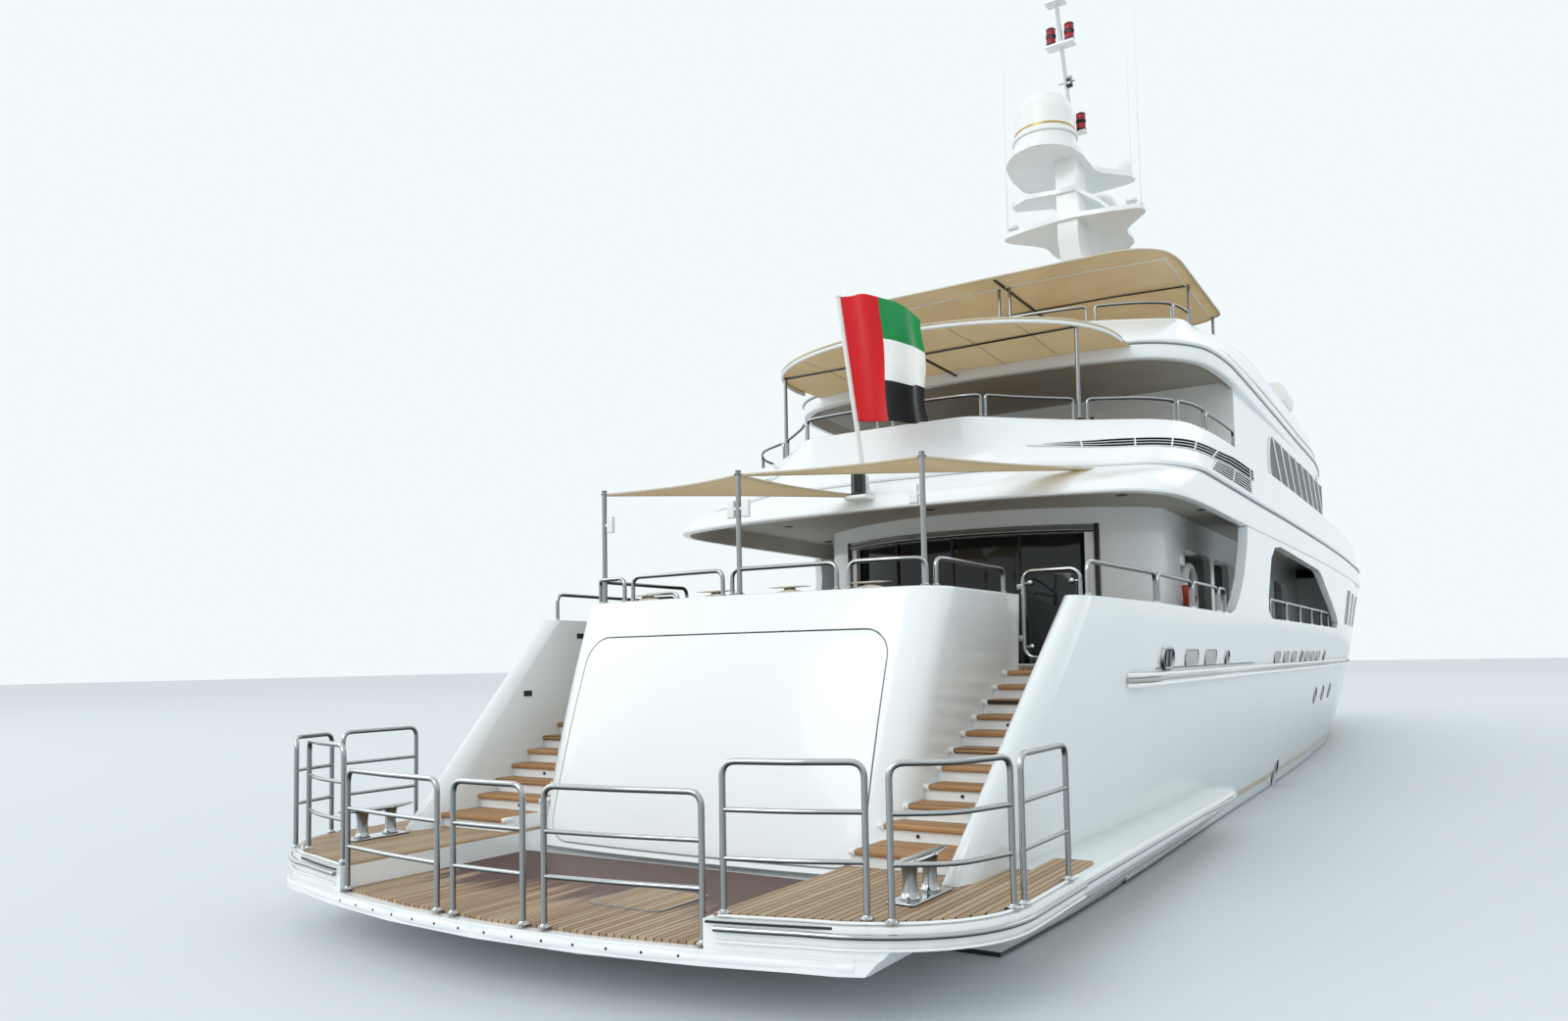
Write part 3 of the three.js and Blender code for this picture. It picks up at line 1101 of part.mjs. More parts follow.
function addPiece(name, solid, finish) {
  const mesh = new THREE.Mesh(geometryOf(solid), new THREE.MeshStandardMaterial(FINISHES[finish]));
  mesh.name = name;
  yacht.add(mesh);
}

PIECES.forEach(([name, solid, finish]) => addPiece(name, solid, finish));
SIDE_PIECES.forEach(([name, solid, finish]) => {
  addPiece(`${name}_port`, onSide(solid, 1), finish);
  addPiece(`${name}_starboard`, onSide(solid, -1), finish);
});

export default yacht;
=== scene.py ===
import json
import math

import bmesh
import bpy
import numpy as np
from bpy.props import FloatProperty, PointerProperty, StringProperty
from bpy.types import Operator, Panel, PropertyGroup
from mathutils import Matrix, Vector


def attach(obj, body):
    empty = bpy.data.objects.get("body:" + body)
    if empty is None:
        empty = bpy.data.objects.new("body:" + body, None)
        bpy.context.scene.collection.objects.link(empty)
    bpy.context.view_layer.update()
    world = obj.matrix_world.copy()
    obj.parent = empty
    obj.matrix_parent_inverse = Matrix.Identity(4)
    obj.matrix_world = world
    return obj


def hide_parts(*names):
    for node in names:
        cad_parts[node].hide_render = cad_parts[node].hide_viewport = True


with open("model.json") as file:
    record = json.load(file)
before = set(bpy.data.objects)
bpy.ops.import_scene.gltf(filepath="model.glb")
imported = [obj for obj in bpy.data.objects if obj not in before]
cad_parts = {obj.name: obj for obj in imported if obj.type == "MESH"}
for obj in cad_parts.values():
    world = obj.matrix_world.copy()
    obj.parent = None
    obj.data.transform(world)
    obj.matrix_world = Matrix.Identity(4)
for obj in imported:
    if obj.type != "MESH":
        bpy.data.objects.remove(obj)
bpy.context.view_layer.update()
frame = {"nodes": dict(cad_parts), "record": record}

bl_info = {
    "name": "Motor yacht",
    "version": (1, 0, 0),
    "blender": (4, 5, 0),
    "location": "View3D > Sidebar > Yacht",
    "description": "A 45 m motor yacht as a 1:2 model, afloat on a pale floor",
    "category": "Object",
}

# Every size below is a real metre, as in the part's source: distance forward from the stern rail,
# port positive, height above the waterline. model() takes a point to the 1:2 model's metres.
MODEL_SCALE = 0.5
MIDSHIPS = 22.0
LOW_TEAK, STEP_TEAK, MAIN_DECK, BULWARK, TRANSOM_TOP = 0.555, 0.78, 2.45, 3.21, 3.35
FASCIA_LOW, UPPER_CEILING, UPPER_DECK, UPPER_BULWARK = 4.62, 4.88, 5.05, 5.9
SUN_LOW, SUN_CEILING, SUN_DECK, SUN_BULWARK = 7.1, 7.24, 7.4, 8.1
AWNING_TOP = 7.3
BULGE_HALF = 2.42
# The transom's skin: how it curves across the stern, its corners' radius, and where its sides end
TRANSOM_CURVE, TRANSOM_CORNER, HOUSING_FRONT = 0.0258, 0.45, 5.75
PLATFORM_CURVE = 0.052
# Heights between which the upper deck's fascia, its bulwark and the sun deck's bulwark rise
FASCIA_FROM, FASCIA_TO, WALL_FROM, WALL_TO, SCREEN_FROM, SCREEN_TO = 4.655, 5.1, 5.19, 5.87, 7.44, 8.07
SALOON_CENTRE = 13
SIDES = (("port", 1), ("starboard", -1))
BODY = "yacht"
AHEAD, ACROSS, UP = (1, 0, 0), (0, 1, 0), (0, 0, 1)
# Heights of the canopy's cloth over its arches, by the distance from the centreline
CROWN_Y, CROWN_Z = [-3.05, -2.9, -1.5, 0, 1.5, 2.9, 3.05], [9.25, 9.32, 9.38, 9.4, 9.38, 9.32, 9.25]

# Seen from above: the sunshades' posts, and the corners of each low hoop on the transom
SHADE_POSTS = ((3.58, 2.1), (3.42, -0.03), (3.665, -2.18))
TRANSOM_HOOPS = (((5.52, 2.32), (3.9, 2.32), (3.74, 2.29)), ((3.65, 2.23), (3.56, 2.12), (3.485, 1.7)),
                 ((3.475, 1.56), (3.42, 0.2)), ((3.42, 0.07), (3.45, -1.26)),
                 ((3.46, -1.4), (3.5, -1.9), (3.62, -2.22)), ((3.72, -2.28), (3.9, -2.32), (5.52, -2.32)))
# The hull's sections: distance, keel height, half beam at the sheer, fullness, sheer height
STATIONS = np.array([
    (1.6, -0.6, 3.6, 0.04, 4.61), (2.6, -0.8, 3.66, 0.05, 4.61), (4.2, -1.1, 3.78, 0.06, 4.61),
    (6.3, -1.35, 3.94, 0.09, 4.61), (11, -1.75, 3.98, 0.115, 4.61), (16, -2, 4.08, 0.14, 4.61),
    (22, -2.1, 4.15, 0.17, 4.61), (28, -2.1, 4.12, 0.21, 4.61), (33, -2.1, 3.92, 0.28, 4.61),
    (37, -1.95, 3.35, 0.38, 4.75), (40, -1.4, 2.55, 0.52, 4.98), (42, 0.15, 1.75, 0.62, 5.16),
    (43.5, 2.4, 0.95, 0.72, 5.32), (44.6, 4.9, 0.12, 0.8, 5.42)])


def model(points):
    """Real metres to model metres: amidships moves to the origin, then everything is halved."""
    return (np.asarray(points, float) - (MIDSHIPS, 0.0, 0.0)) * MODEL_SCALE


def unit(vectors):
    """The vectors at length one."""
    return vectors / np.maximum(np.linalg.norm(vectors, axis=-1, keepdims=True), 1e-12)


def hull_half(x, z):
    """Half beam of the plating: beam times (height over the keel / depth) to the station's fullness."""
    keel, beam, curve, sheer = (np.interp(x, STATIONS[:, 0], STATIONS[:, k]) for k in range(1, 5))
    return beam * (np.clip((z - keel) / (sheer - keel), 1e-4, 1.3)) ** curve


def raised(path, z):
    """A plan path at a height."""
    return np.concatenate([path, np.full((len(path), 1), float(z))], 1)


def hermite(points, slopes, k, u, run=1.0):
    """The cubic from point k to the next, at a share u of the run between them, with their slopes."""
    return ((2 * u**3 - 3 * u**2 + 1) * points[k] + (u**3 - 2 * u**2 + u) * run * slopes[k]
            + (3 * u**2 - 2 * u**3) * points[k + 1] + (u**3 - u**2) * run * slopes[k + 1])


def curve_through(points, count):
    """Cubic through the points by chord length; a point's slope is that of the chord over its neighbours."""
    points = np.asarray(points, float)
    t = np.concatenate([[0], np.cumsum(np.linalg.norm(np.diff(points[:, :2], axis=0), axis=1))])
    slope = np.gradient(points, t, axis=0)
    s = np.linspace(0, t[-1], count)
    k = np.clip(np.searchsorted(t, s, side="right") - 1, 0, len(t) - 2)
    h = (t[k + 1] - t[k])[:, None]
    return hermite(points, slope, k, ((s - t[k]) / h[:, 0])[:, None], h)


def rounded_path(points, radius, steps=6):
    """A polyline whose corners are parabolic arcs that start and end a radius from each corner."""
    points = np.asarray(points, float)
    path = [points[:1]]
    t = np.linspace(0, 1, steps + 1)[:, None]
    for before, corner, after in zip(points, points[1:], points[2:]):
        reach = min(radius, 0.49 * np.linalg.norm(before - corner), 0.49 * np.linalg.norm(after - corner))
        start = corner + reach * unit(before - corner)
        end = corner + reach * unit(after - corner)
        path.append((1 - t) ** 2 * start + 2 * t * (1 - t) * corner + t**2 * end)
    return np.concatenate(path + [points[-1:]])


def rounded_box(u0, u1, v0, v1, radius, steps=6):
    """A rounded rectangle in two coordinates: four quarter circles, counter-clockwise."""
    angle = np.linspace(0, math.pi / 2, steps + 1)
    corners = [(u1 - radius, v1 - radius, 0), (u0 + radius, v1 - radius, 1),
               (u0 + radius, v0 + radius, 2), (u1 - radius, v0 + radius, 3)]
    arcs = [(u, v, angle + q * math.pi / 2) for u, v, q in corners]
    return np.concatenate([np.stack([u + radius * np.cos(a), v + radius * np.sin(a)], -1)
                           for u, v, a in arcs])


def disc(radius, height):
    """The profile of a flat disc, for turned()."""
    return [(0.0, 0.0), (radius, 0.0), (radius, height), (0.0, height)]


def plan_normals(path, closed=False):
    """Level directions square to a path, to the left of its run."""
    if closed:
        along = np.roll(path, -1, 0) - np.roll(path, 1, 0)
    else:
        along = np.gradient(path, axis=0)
    left = np.zeros_like(along)
    left[:, 0], left[:, 1] = -along[:, 1], along[:, 0]
    return unit(left)


class Shape:
    """Surfaces gathered into one mesh: vertices, faces, corner UVs and a material index for each face."""

    def __init__(self):
        self.points, self.faces, self.uvs, self.slots = [], [], [], []
        self.count = 0

    def grid(self, points, wrap_u=False, wrap_v=False, caps=False, slot=0, size=None):
        """Quads over a (u, v) grid; a wrapped side joins its end to its start, caps close the ends in u."""
        points = np.asarray(points, float)
        m, n = points.shape[:2]
        i, j = np.meshgrid(np.arange(m - (not wrap_u)), np.arange(n - (not wrap_v)), indexing="ij")
        i, j = i.ravel(), j.ravel()
        up, right = (i + 1) % m, (j + 1) % n
        quads = np.stack([i * n + j, up * n + j, up * n + right, i * n + right], -1) + self.count
        su, sv = size or (1 / max(m - 1, 1), 1 / max(n - 1, 1))
        corner = np.stack([np.stack([i, j], -1), np.stack([i + 1, j], -1),
                           np.stack([i + 1, j + 1], -1), np.stack([i, j + 1], -1)], 1) * (su, sv)
        self.faces += quads.tolist()
        self.uvs.append(corner.reshape(-1, 2))
        self.slots += [slot] * len(quads)
        if caps:
            for ring in (np.arange(n), (m - 1) * n + np.arange(n)):
                self.faces.append((ring + self.count).tolist())
                self.uvs.append(np.zeros((n, 2)))
                self.slots.append(slot)
        self.points.append(points.reshape(-1, 3))
        self.count += m * n
        return self

    def tube(self, path, radius, sides=12, closed=False, flat=1.0, ref=None):
        """A circle carried along a path; its frame is the tangent crossed with the path's plane normal."""
        path = np.asarray(path, float)
        if closed:
            along = unit(np.roll(path, -1, 0) - np.roll(path, 1, 0))
        else:
            along = unit(np.gradient(path, axis=0))
        if ref is None:
            ref = np.linalg.svd(path - path.mean(0))[2][2]
        side = unit(np.cross(along, np.asarray(ref, float)))
        up = np.cross(side, along)
        angle = np.linspace(0, 2 * math.pi, sides, endpoint=False)
        radius = np.broadcast_to(np.asarray(radius, float), len(path))[:, None, None]
        ring = path[:, None] + radius * (side[:, None] * np.cos(angle)[:, None]
                                         + flat * up[:, None] * np.sin(angle)[:, None])
        return self.grid(ring, wrap_u=closed, wrap_v=True, caps=not closed)

    def turned(self, profile, x, y, z, sides=24, slot=0, axis=2):
        """A profile of radius and height turned about an upright line, or about the axis given."""
        profile = np.asarray(profile, float)
        angle = np.linspace(0, 2 * math.pi, sides, endpoint=False)
        radius, height = profile[:, :1], profile[:, 1:]
        ring = np.stack([radius * np.cos(angle), radius * np.sin(angle), height + 0 * angle], -1)
        if axis != 2:
            ring = np.roll(ring, axis + 1, -1)
        return self.grid(ring + (x, y, z), wrap_v=True, caps=True, slot=slot)

    def slab(self, outline, z0, z1, edge=0.01, place=None):
        """An outline raised from z0 to z1, its edges quarter circles; place() maps it elsewhere."""
        outline = np.asarray(outline, float)
        left = plan_normals(raised(outline, 0), closed=True)[:, :2]
        angle = np.linspace(0, math.pi / 2, 4)
        inset = np.concatenate([edge * (1 - np.sin(angle)), edge * (1 - np.cos(angle))])
        height = np.concatenate([z0 + edge * (1 - np.cos(angle)), z1 - edge * (1 - np.sin(angle))])
        rings = outline[None] + inset[:, None, None] * left[None]
        heights = np.broadcast_to(height[:, None, None], rings.shape[:2] + (1,))
        solid = np.concatenate([rings, heights], -1)
        return self.grid(solid if place is None else place(solid), wrap_v=True, caps=True)

    def block(self, x0, x1, y0, y1, z0, z1, edge=0.01):
        """A box with rounded corners and edges; its two sides in y may come in either order."""
        y0, y1 = sorted((y0, y1))
        radius = min(edge * 1.5, 0.45 * min(x1 - x0, y1 - y0))
        return self.slab(rounded_box(x0, x1, y0, y1, radius, 3), z0, z1, min(edge, 0.45 * (z1 - z0)))

    def mirror(self):
        """Adds the same surfaces on the other side of the centreline, their faces turned to point out."""
        points = np.concatenate(self.points) * (1, -1, 1)
        faces = [[k + self.count for k in face[::-1]] for face in self.faces]
        corners = np.concatenate(self.uvs)
        ends = np.cumsum([len(face) for face in self.faces])
        for start, end in zip(np.concatenate([[0], ends[:-1]]), ends):
            self.uvs.append(corners[start:end][::-1])
        self.points.append(points)
        self.faces += faces
        self.slots += list(self.slots)
        self.count *= 2
        return self

    def make(self, name, materials, slot, body=BODY, stands_for=(), sharp=38.0, closed=True):
        """The mesh object, in the model's metres, riding a body."""
        mesh = bpy.data.meshes.new(name)
        mesh.from_pydata(model(np.concatenate(self.points)).tolist(), [], self.faces)
        corners = np.concatenate(self.uvs).ravel().astype(np.float32)
        mesh.uv_layers.new(name="UVMap").data.foreach_set("uv", corners)
        mesh.polygons.foreach_set("material_index", np.array(self.slots, np.int32))
        merge_points(mesh, closed)
        return new_piece(name, mesh, materials, body, stands_for, sharp)


def merge_points(mesh, closed):
    """Merges points that fall together, and turns the faces of a closed form outward."""
    work = bmesh.new()
    work.from_mesh(mesh)
    bmesh.ops.remove_doubles(work, verts=work.verts, dist=2e-5)
    if closed:
        bmesh.ops.recalc_face_normals(work, faces=work.faces)
    work.to_mesh(mesh)
    work.free()


def linked(name, data):
    """A new object with its data, in the scene."""
    thing = bpy.data.objects.new(name, data)
    bpy.context.scene.collection.objects.link(thing)
    return thing


def new_piece(name, mesh, materials, body, stands_for, sharp):
    """A mesh as a piece: its materials, smooth but for sharp edges, on its body, in place of CAD nodes."""
    for material in materials if isinstance(materials, list) else [materials]:
        mesh.materials.append(material)
    mesh.polygons.foreach_set("use_smooth", np.ones(len(mesh.polygons), bool))
    mesh.set_sharp_from_angle(angle=math.radians(sharp))
    piece = linked(name, mesh)
    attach(piece, body)
    if stands_for:
        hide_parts(*stands_for)
    return piece


def linear(code):
    """An sRGB hex colour as linear red, green, blue and alpha."""
    parts = [int(code[k:k + 2], 16) / 255 for k in (1, 3, 5)]
    return [p / 12.92 if p <= 0.04045 else ((p + 0.055) / 1.055) ** 2.4 for p in parts] + [1.0]


def add(tree, kind, links=None, **settings):
    """A node with its properties and socket values set, and its inputs linked to other nodes' outputs."""
    node = tree.nodes.new(kind)
    for key, value in settings.items():
        if hasattr(node, key):
            setattr(node, key, value)
        else:
            socket = int(key[1:]) if key[0] == "i" and key[1:].isdigit() else key.replace("_", " ")
            node.inputs[socket].default_value = value
    for key, output in (links or {}).items():
        tree.links.new(output, node.inputs[key])
    return node


def new_material(name, **shader):
    """A material with its shader's own sockets set; returns it with its tree and shader."""
    material = bpy.data.materials.new(name)
    material.use_nodes = True
    tree = material.node_tree
    bsdf = tree.nodes["Principled BSDF"]
    for key, value in shader.items():
        bsdf.inputs[key.replace("_", " ")].default_value = value
    return material, tree, bsdf


def surfaced(tree, bsdf, colour, height, distance, strength):
    """Sends a colour, if there is one, and a height to the shader; the distance is in model metres."""
    if colour:
        tree.links.new(colour, bsdf.inputs["Base Color"])
    bump = add(tree, "ShaderNodeBump", {"Height": height}, Strength=strength, Distance=distance)
    tree.links.new(bump.outputs[0], bsdf.inputs["Normal"])


def tint(tree, factor, low, high):
    """Two colours mixed by a factor; each is a hex code or another node's output."""
    mix = add(tree, "ShaderNodeMix", {"Factor": factor}, data_type="RGBA")
    for socket, colour in ((6, low), (7, high)):
        if isinstance(colour, str):
            mix.inputs[socket].default_value = linear(colour)
        else:
            tree.links.new(colour, mix.inputs[socket])
    return mix.outputs[2]


def calc(tree, operation, *operands):
    """A Math node's result; an operand is a number or another node's output."""
    links = {k: v for k, v in enumerate(operands) if isinstance(v, bpy.types.NodeSocket)}
    numbers = {f"i{k}": v for k, v in enumerate(operands) if k not in links}
    return add(tree, "ShaderNodeMath", links, operation=operation, **numbers).outputs[0]


def fitted(tree, value, low, high, start=0.0, end=1.0):
    """A value's run from low to high carried to the run from start to end, and held there beyond."""
    return add(tree, "ShaderNodeMapRange", {0: value}, i1=low, i2=high, i3=start, i4=end).outputs[0]


def coordinates(tree, kind="Object"):
    """The three parts of a texture coordinate."""
    where = add(tree, "ShaderNodeTexCoord").outputs[kind]
    return add(tree, "ShaderNodeSeparateXYZ", {0: where}).outputs


def object_noise(tree, scale, stretch=(1, 1, 1), detail=3.0, rough=0.5):
    """Noise on Object coordinates, with scale in cycles per model metre and a stretch for each axis."""
    where = add(tree, "ShaderNodeTexCoord").outputs["Object"]
    turned = add(tree, "ShaderNodeMapping", {"Vector": where}, Scale=[scale * s for s in stretch])
    return add(tree, "ShaderNodeTexNoise", {"Vector": turned.outputs[0]}, Scale=1.0, Detail=detail,
               Roughness=rough).outputs[0]


def gloss_paint(name, colour, shade):
    """Two-part polyurethane yacht topcoat, sprayed: a clear even gloss with the faintest orange peel."""
    material, tree, bsdf = new_material(name, Roughness=0.22, IOR=1.48, Coat_Weight=0.45, Coat_Roughness=0.06)
    paint = tint(tree, object_noise(tree, 0.6, detail=2.0), colour, shade)
    # Orange peel of 4 mm is drawn at 40 mm, as coarse as the picture can show
    surfaced(tree, bsdf, paint, object_noise(tree, 25.0, detail=1.0), 0.0004, 0.12)
    return material


def hull_paint(name, colours):
    """The same topcoat on the hull, with a gold line over a white boot-top and dark antifouling below."""
    material, tree, bsdf = new_material(name, Roughness=0.2, IOR=1.48, Coat_Weight=0.5, Coat_Roughness=0.05)
    x, _, z = coordinates(tree)
    shade = tint(tree, object_noise(tree, 0.5, detail=2.0), colours.paint_hex, "#E6EBEC")
    # Painted reflection and shade: the paint turns blue-grey towards the waterline, and more so forward,
    # standing in for the dark water the hull reflects
    painted_water_shade = calc(tree, "MULTIPLY", fitted(tree, z, 0.0, 1.9, 1.0, 0.0), fitted(tree, x, -9.5, 1.0, 0.25, 0.9))
    shade = tint(tree, painted_water_shade, shade, "#8C9EA2")
    for low, high, colour in ((0.104, 0.158, "#9C7A34"), (-9.0, 0.022, "#1C2226")):
        band = calc(tree, "MULTIPLY", calc(tree, "GREATER_THAN", z, low), calc(tree, "LESS_THAN", z, high))
        shade = tint(tree, band, shade, colour)
    surfaced(tree, bsdf, shade, object_noise(tree, 25.0, detail=1.0), 0.0004, 0.1)
    return material


def planks(name, colour, dark, wide, axis=1, wet=False):
    """Laid teak, scrubbed: silvery-brown boards with grain along them and black caulk between.

    Boards lie side by side along one axis: the caulk shows where the place across a board, in boards, has a
    fraction near a whole number. Each board has its own shade from noise on its number.
    """
    material, tree, bsdf = new_material(name, IOR=1.33 if wet else 1.45, Roughness=0.62)
    place = coordinates(tree)
    across = calc(tree, "DIVIDE", place[axis], wide)
    from_middle = calc(tree, "ABSOLUTE", calc(tree, "SUBTRACT", calc(tree, "FRACT", across), 0.5))
    seam = fitted(tree, from_middle, 0.41, 0.445)
    number = calc(tree, "FLOOR", across)
    own = add(tree, "ShaderNodeTexWhiteNoise", {"W": number}, noise_dimensions="1D").outputs[0]
    grain = object_noise(tree, 6.0, (1.5, 30, 30) if axis == 1 else (30, 1.5, 30), detail=5.0, rough=0.6)
    level = calc(tree, "MULTIPLY", calc(tree, "ADD", own, calc(tree, "MULTIPLY", own, grain)), 0.55)
    wood = tint(tree, calc(tree, "MULTIPLY", calc(tree, "ADD", grain, level), 0.72), colour, dark)
    if wet:
        # The forward boards, against the transom, are soaked: dark and shining
        spread = calc(tree, "MULTIPLY_ADD", object_noise(tree, 2.2, (0.5, 9, 1)), 1.1, -0.55)
        soaked = fitted(tree, calc(tree, "ADD", place[0], spread), -10.72, -10.5)
        wood = tint(tree, soaked, wood, "#4C2413")
        tree.links.new(fitted(tree, soaked, 0.0, 1.0, 0.6, 0.4), bsdf.inputs["Roughness"])
    surfaced(tree, bsdf, tint(tree, seam, wood, "#2B2622"), calc(tree, "SUBTRACT", grain, seam), 0.001, 0.5)
    return material


def polished_metal(name, colour, rough, under=None):
    """Polished metal, such as stainless steel tube: mirror-like with fine rub marks.

    Painted reflection and shade: by the normal, the tint turns to a darker colour on the lower side and on
    the starboard-facing side, standing in for the wet teak and shade that the tube faces.
    """
    material, tree, bsdf = new_material(name, Metallic=1.0, Base_Color=linear(colour))
    marks = object_noise(tree, 40.0, (1, 1, 6), detail=2.0)
    tree.links.new(fitted(tree, marks, 0.0, 1.0, rough * 0.7, rough * 1.6), bsdf.inputs["Roughness"])
    metal = None
    if under:
        normal = add(tree, "ShaderNodeNewGeometry").outputs["Normal"]
        _, side, height = add(tree, "ShaderNodeSeparateXYZ", {0: normal}).outputs
        # Painted shade: the tube darkens downward and towards its starboard-facing side
        aside = fitted(tree, side, -0.9, 0.2, 0.55, 1.0)
        metal = tint(tree, calc(tree, "MULTIPLY", fitted(tree, height, -0.35, 0.3), aside), under, colour)
    surfaced(tree, bsdf, metal, marks, 0.0002, 0.06)
    return material


def tinted_glass(name, colour, rough=0.05, coat=0.1, bend=1.4):
    """Toughened glass, dark grey all through: a hard clear reflection over near black, faintly streaked."""
    material, tree, bsdf = new_material(name, IOR=bend, Coat_Weight=coat, Coat_Roughness=0.02)
    broad = object_noise(tree, 1.2, (1, 1, 3), detail=2.0)
    tree.links.new(tint(tree, broad, colour, "#151A1C"), bsdf.inputs["Base Color"])
    streaks = fitted(tree, object_noise(tree, 9.0, (3, 3, 0.6)), 0.0, 1.0, rough * 0.7, rough * 1.5)
    tree.links.new(streaks, bsdf.inputs["Roughness"])
    return material


def woven(name, colour, shade, thread, through=0.0):
    """Solution-dyed acrylic canvas, plain weave, on the piece's UV map in model metres.

    Two waves at right angles stand for the threads; their product lifts each crossing. A share of the light
    goes through, so that the underside glows where the sky lies behind it.
    """
    material, tree, bsdf = new_material(name, Roughness=0.88, IOR=1.45, Sheen_Weight=0.2, Sheen_Roughness=0.5)
    source = add(tree, "ShaderNodeTexCoord").outputs["UV"]
    waves = [add(tree, "ShaderNodeTexWave", {"Vector": source}, bands_direction=d, Scale=0.16 / thread,
                 Distortion=0.4, Detail=1.0).outputs[0] for d in ("X", "Y")]
    cross = calc(tree, "MULTIPLY", *waves)
    mixed = calc(tree, "ADD", calc(tree, "MULTIPLY", cross, 0.35), object_noise(tree, 1.6, detail=4.0))
    cloth = tint(tree, mixed, colour, shade)
    if through:
        glow = add(tree, "ShaderNodeBsdfTranslucent", {"Color": cloth})
        blend = add(tree, "ShaderNodeMixShader", {1: bsdf.outputs[0], 2: glow.outputs[0]}, i0=through)
        tree.links.new(blend.outputs[0], tree.nodes["Material Output"].inputs["Surface"])
    surfaced(tree, bsdf, cloth, cross, 0.0008, 0.6)
    return material


def moulded(name, colour, shade, rough=0.35):
    """A satin skin with slight weathering: gel coat from a mould, plastic, or brushed-out paint."""
    material, tree, bsdf = new_material(name, Roughness=rough, IOR=1.5)
    skin = tint(tree, object_noise(tree, 3.0, detail=4.0), colour, shade)
    surfaced(tree, bsdf, skin, object_noise(tree, 60.0), 0.0003, 0.15)
    return material


def flag_material(name):
    """Printed polyester flag cloth: a red band at the hoist, then green, white and black stripes."""
    material, tree, bsdf = new_material(name, Roughness=0.8, IOR=1.45, Sheen_Weight=0.25)
    u, v, _ = coordinates(tree, "UV")
    shade = "#15171A"
    for low, colour in ((1 / 3, "#F2F3F2"), (2 / 3, "#0A8A48")):
        shade = tint(tree, calc(tree, "GREATER_THAN", v, low), shade, colour)
    shade = tint(tree, calc(tree, "LESS_THAN", u, 0.47), shade, "#D5121C")
    surfaced(tree, bsdf, shade, object_noise(tree, 120.0), 0.0004, 0.3)
    return material


class Finishes:
    """The yacht's materials, made once and shared by its pieces."""

    def __init__(self, colours):
        self.paint = gloss_paint("topcoat_white_sprayed", colours.paint_hex, "#E9EDEE")
        self.hull = hull_paint("topcoat_hull_sprayed", colours)
        self.lining = moulded("painted_lining_satin", "#E4E5E2", "#D8D9D6", 0.5)
        # Grey for the port covers; on the rub rail the same grey is painted shade in its groove
        self.shade = moulded("grey_port_covers_and_painted_groove_shade", "#B9BCB6", "#A7AAA4", 0.45)
        self.teak = planks("teak_laid_scrubbed", "#C9B192", "#9A7E60", 0.034)
        self.teak_wet = planks("teak_laid_wet", "#C9B294", "#94765A", 0.034, wet=True)
        self.tread = planks("teak_treads", "#C89C6C", "#96704A", 0.028, axis=0)
        # The second colour of each steel is its painted dark underside, a painted reflection of teak and
        # shade
        self.steel = polished_metal("stainless_tube_polished", "#DCDEDF", 0.13, "#3E4143")
        self.dull_steel = polished_metal("stainless_strip_satin", "#8E9498", 0.3, "#4A4E50")
        self.glass = tinted_glass("toughened_glass_tinted", "#0B0E0F")
        # A near-black sheet behind the slats is painted shade in the vents' recesses: the low index keeps it
        # dark where it is seen edge on
        self.shade_behind_slats = tinted_glass("dark_sheet_painted_shade_behind_slats", "#0C0E0F", 0.6, 0.0, 1.1)
        self.grey_glass = tinted_glass("glass_grey_side_windows", "#3B4245", 0.3, 0.0, 1.25)
        # Grey lines laid under beads and along the gutter and rub rail: painted shadow
        self.shadow_paint = moulded("grey_painted_shadow_lines", "#8A9292", "#7A8282", 0.6)
        # The ceilings under the overhangs are a darker grey than the lining: painted shade
        self.ceiling = moulded("ceiling_satin_painted_shade", "#B5B2A8", "#A5A298", 0.6)
        self.canvas = woven("acrylic_canvas_beige", colours.canvas_hex, "#DECDAE", 0.006, through=0.6)
        self.piping = woven("canvas_piping_pale", "#E9E0CA", "#DBCFB4", 0.004, through=0.3)
        self.cushion = woven("outdoor_fabric_cream", "#EEE7D6", "#DFD6C1", 0.005)
        self.flag = flag_material("polyester_flag_printed")
        self.plastic = moulded("gel_coat_white_moulded", "#F2F3F1", "#E4E6E4", 0.3)
        self.black = moulded("black_plastic_moulded", "#17181A", "#242527", 0.45)
        self.gold = polished_metal("gold_stripe_foil", "#B9934A", 0.3)
        self.brown = moulded("brown_anodised_frame", "#3E322A", "#2E2621", 0.35)
        self.red_lens = moulded("red_lamp_lens", "#B00F1E", "#7E0B16", 0.2)
        self.orange = moulded("orange_lifebuoy_shell", "#D4532A", "#B84420", 0.5)
        self.bronze = polished_metal("cast_bronze_ground", "#A98548", 0.3)


# Port rows of the decks' edges seen from above, from the stern centre forward
FASCIA_FOOT = [(6.39, 0), (6.42, 0.9), (6.45, 1.4), (6.5, 1.96), (6.75, 2.97), (6.99, 3.51),
               (7.6, 3.85), (8.83, 3.96)]
GUTTER = [(6.98, 0), (7.03, 0.9), (7.08, 1.4), (7.19, 2.05), (7.68, 2.85), (7.97, 3.51), (8.55, 3.83),
          (9.12, 3.93)]
UPPER_EDGE = [(7.08, 0), (7.1, 0.8), (7.17, 1.31), (7.7, 1.85), (8.3, 2.49), (8.87, 3.32), (9.45, 3.68),
              (10.86, 3.84)]
SUN_FOOT = [(9.75, 0), (9.79, 1.1), (9.9, 2.14), (10.2, 3.04), (10.97, 3.6), (12.4, 3.77), (16, 3.79),
            (20, 3.79), (24, 3.77), (27.2, 3.4), (29.6, 2.6), (31, 0)]
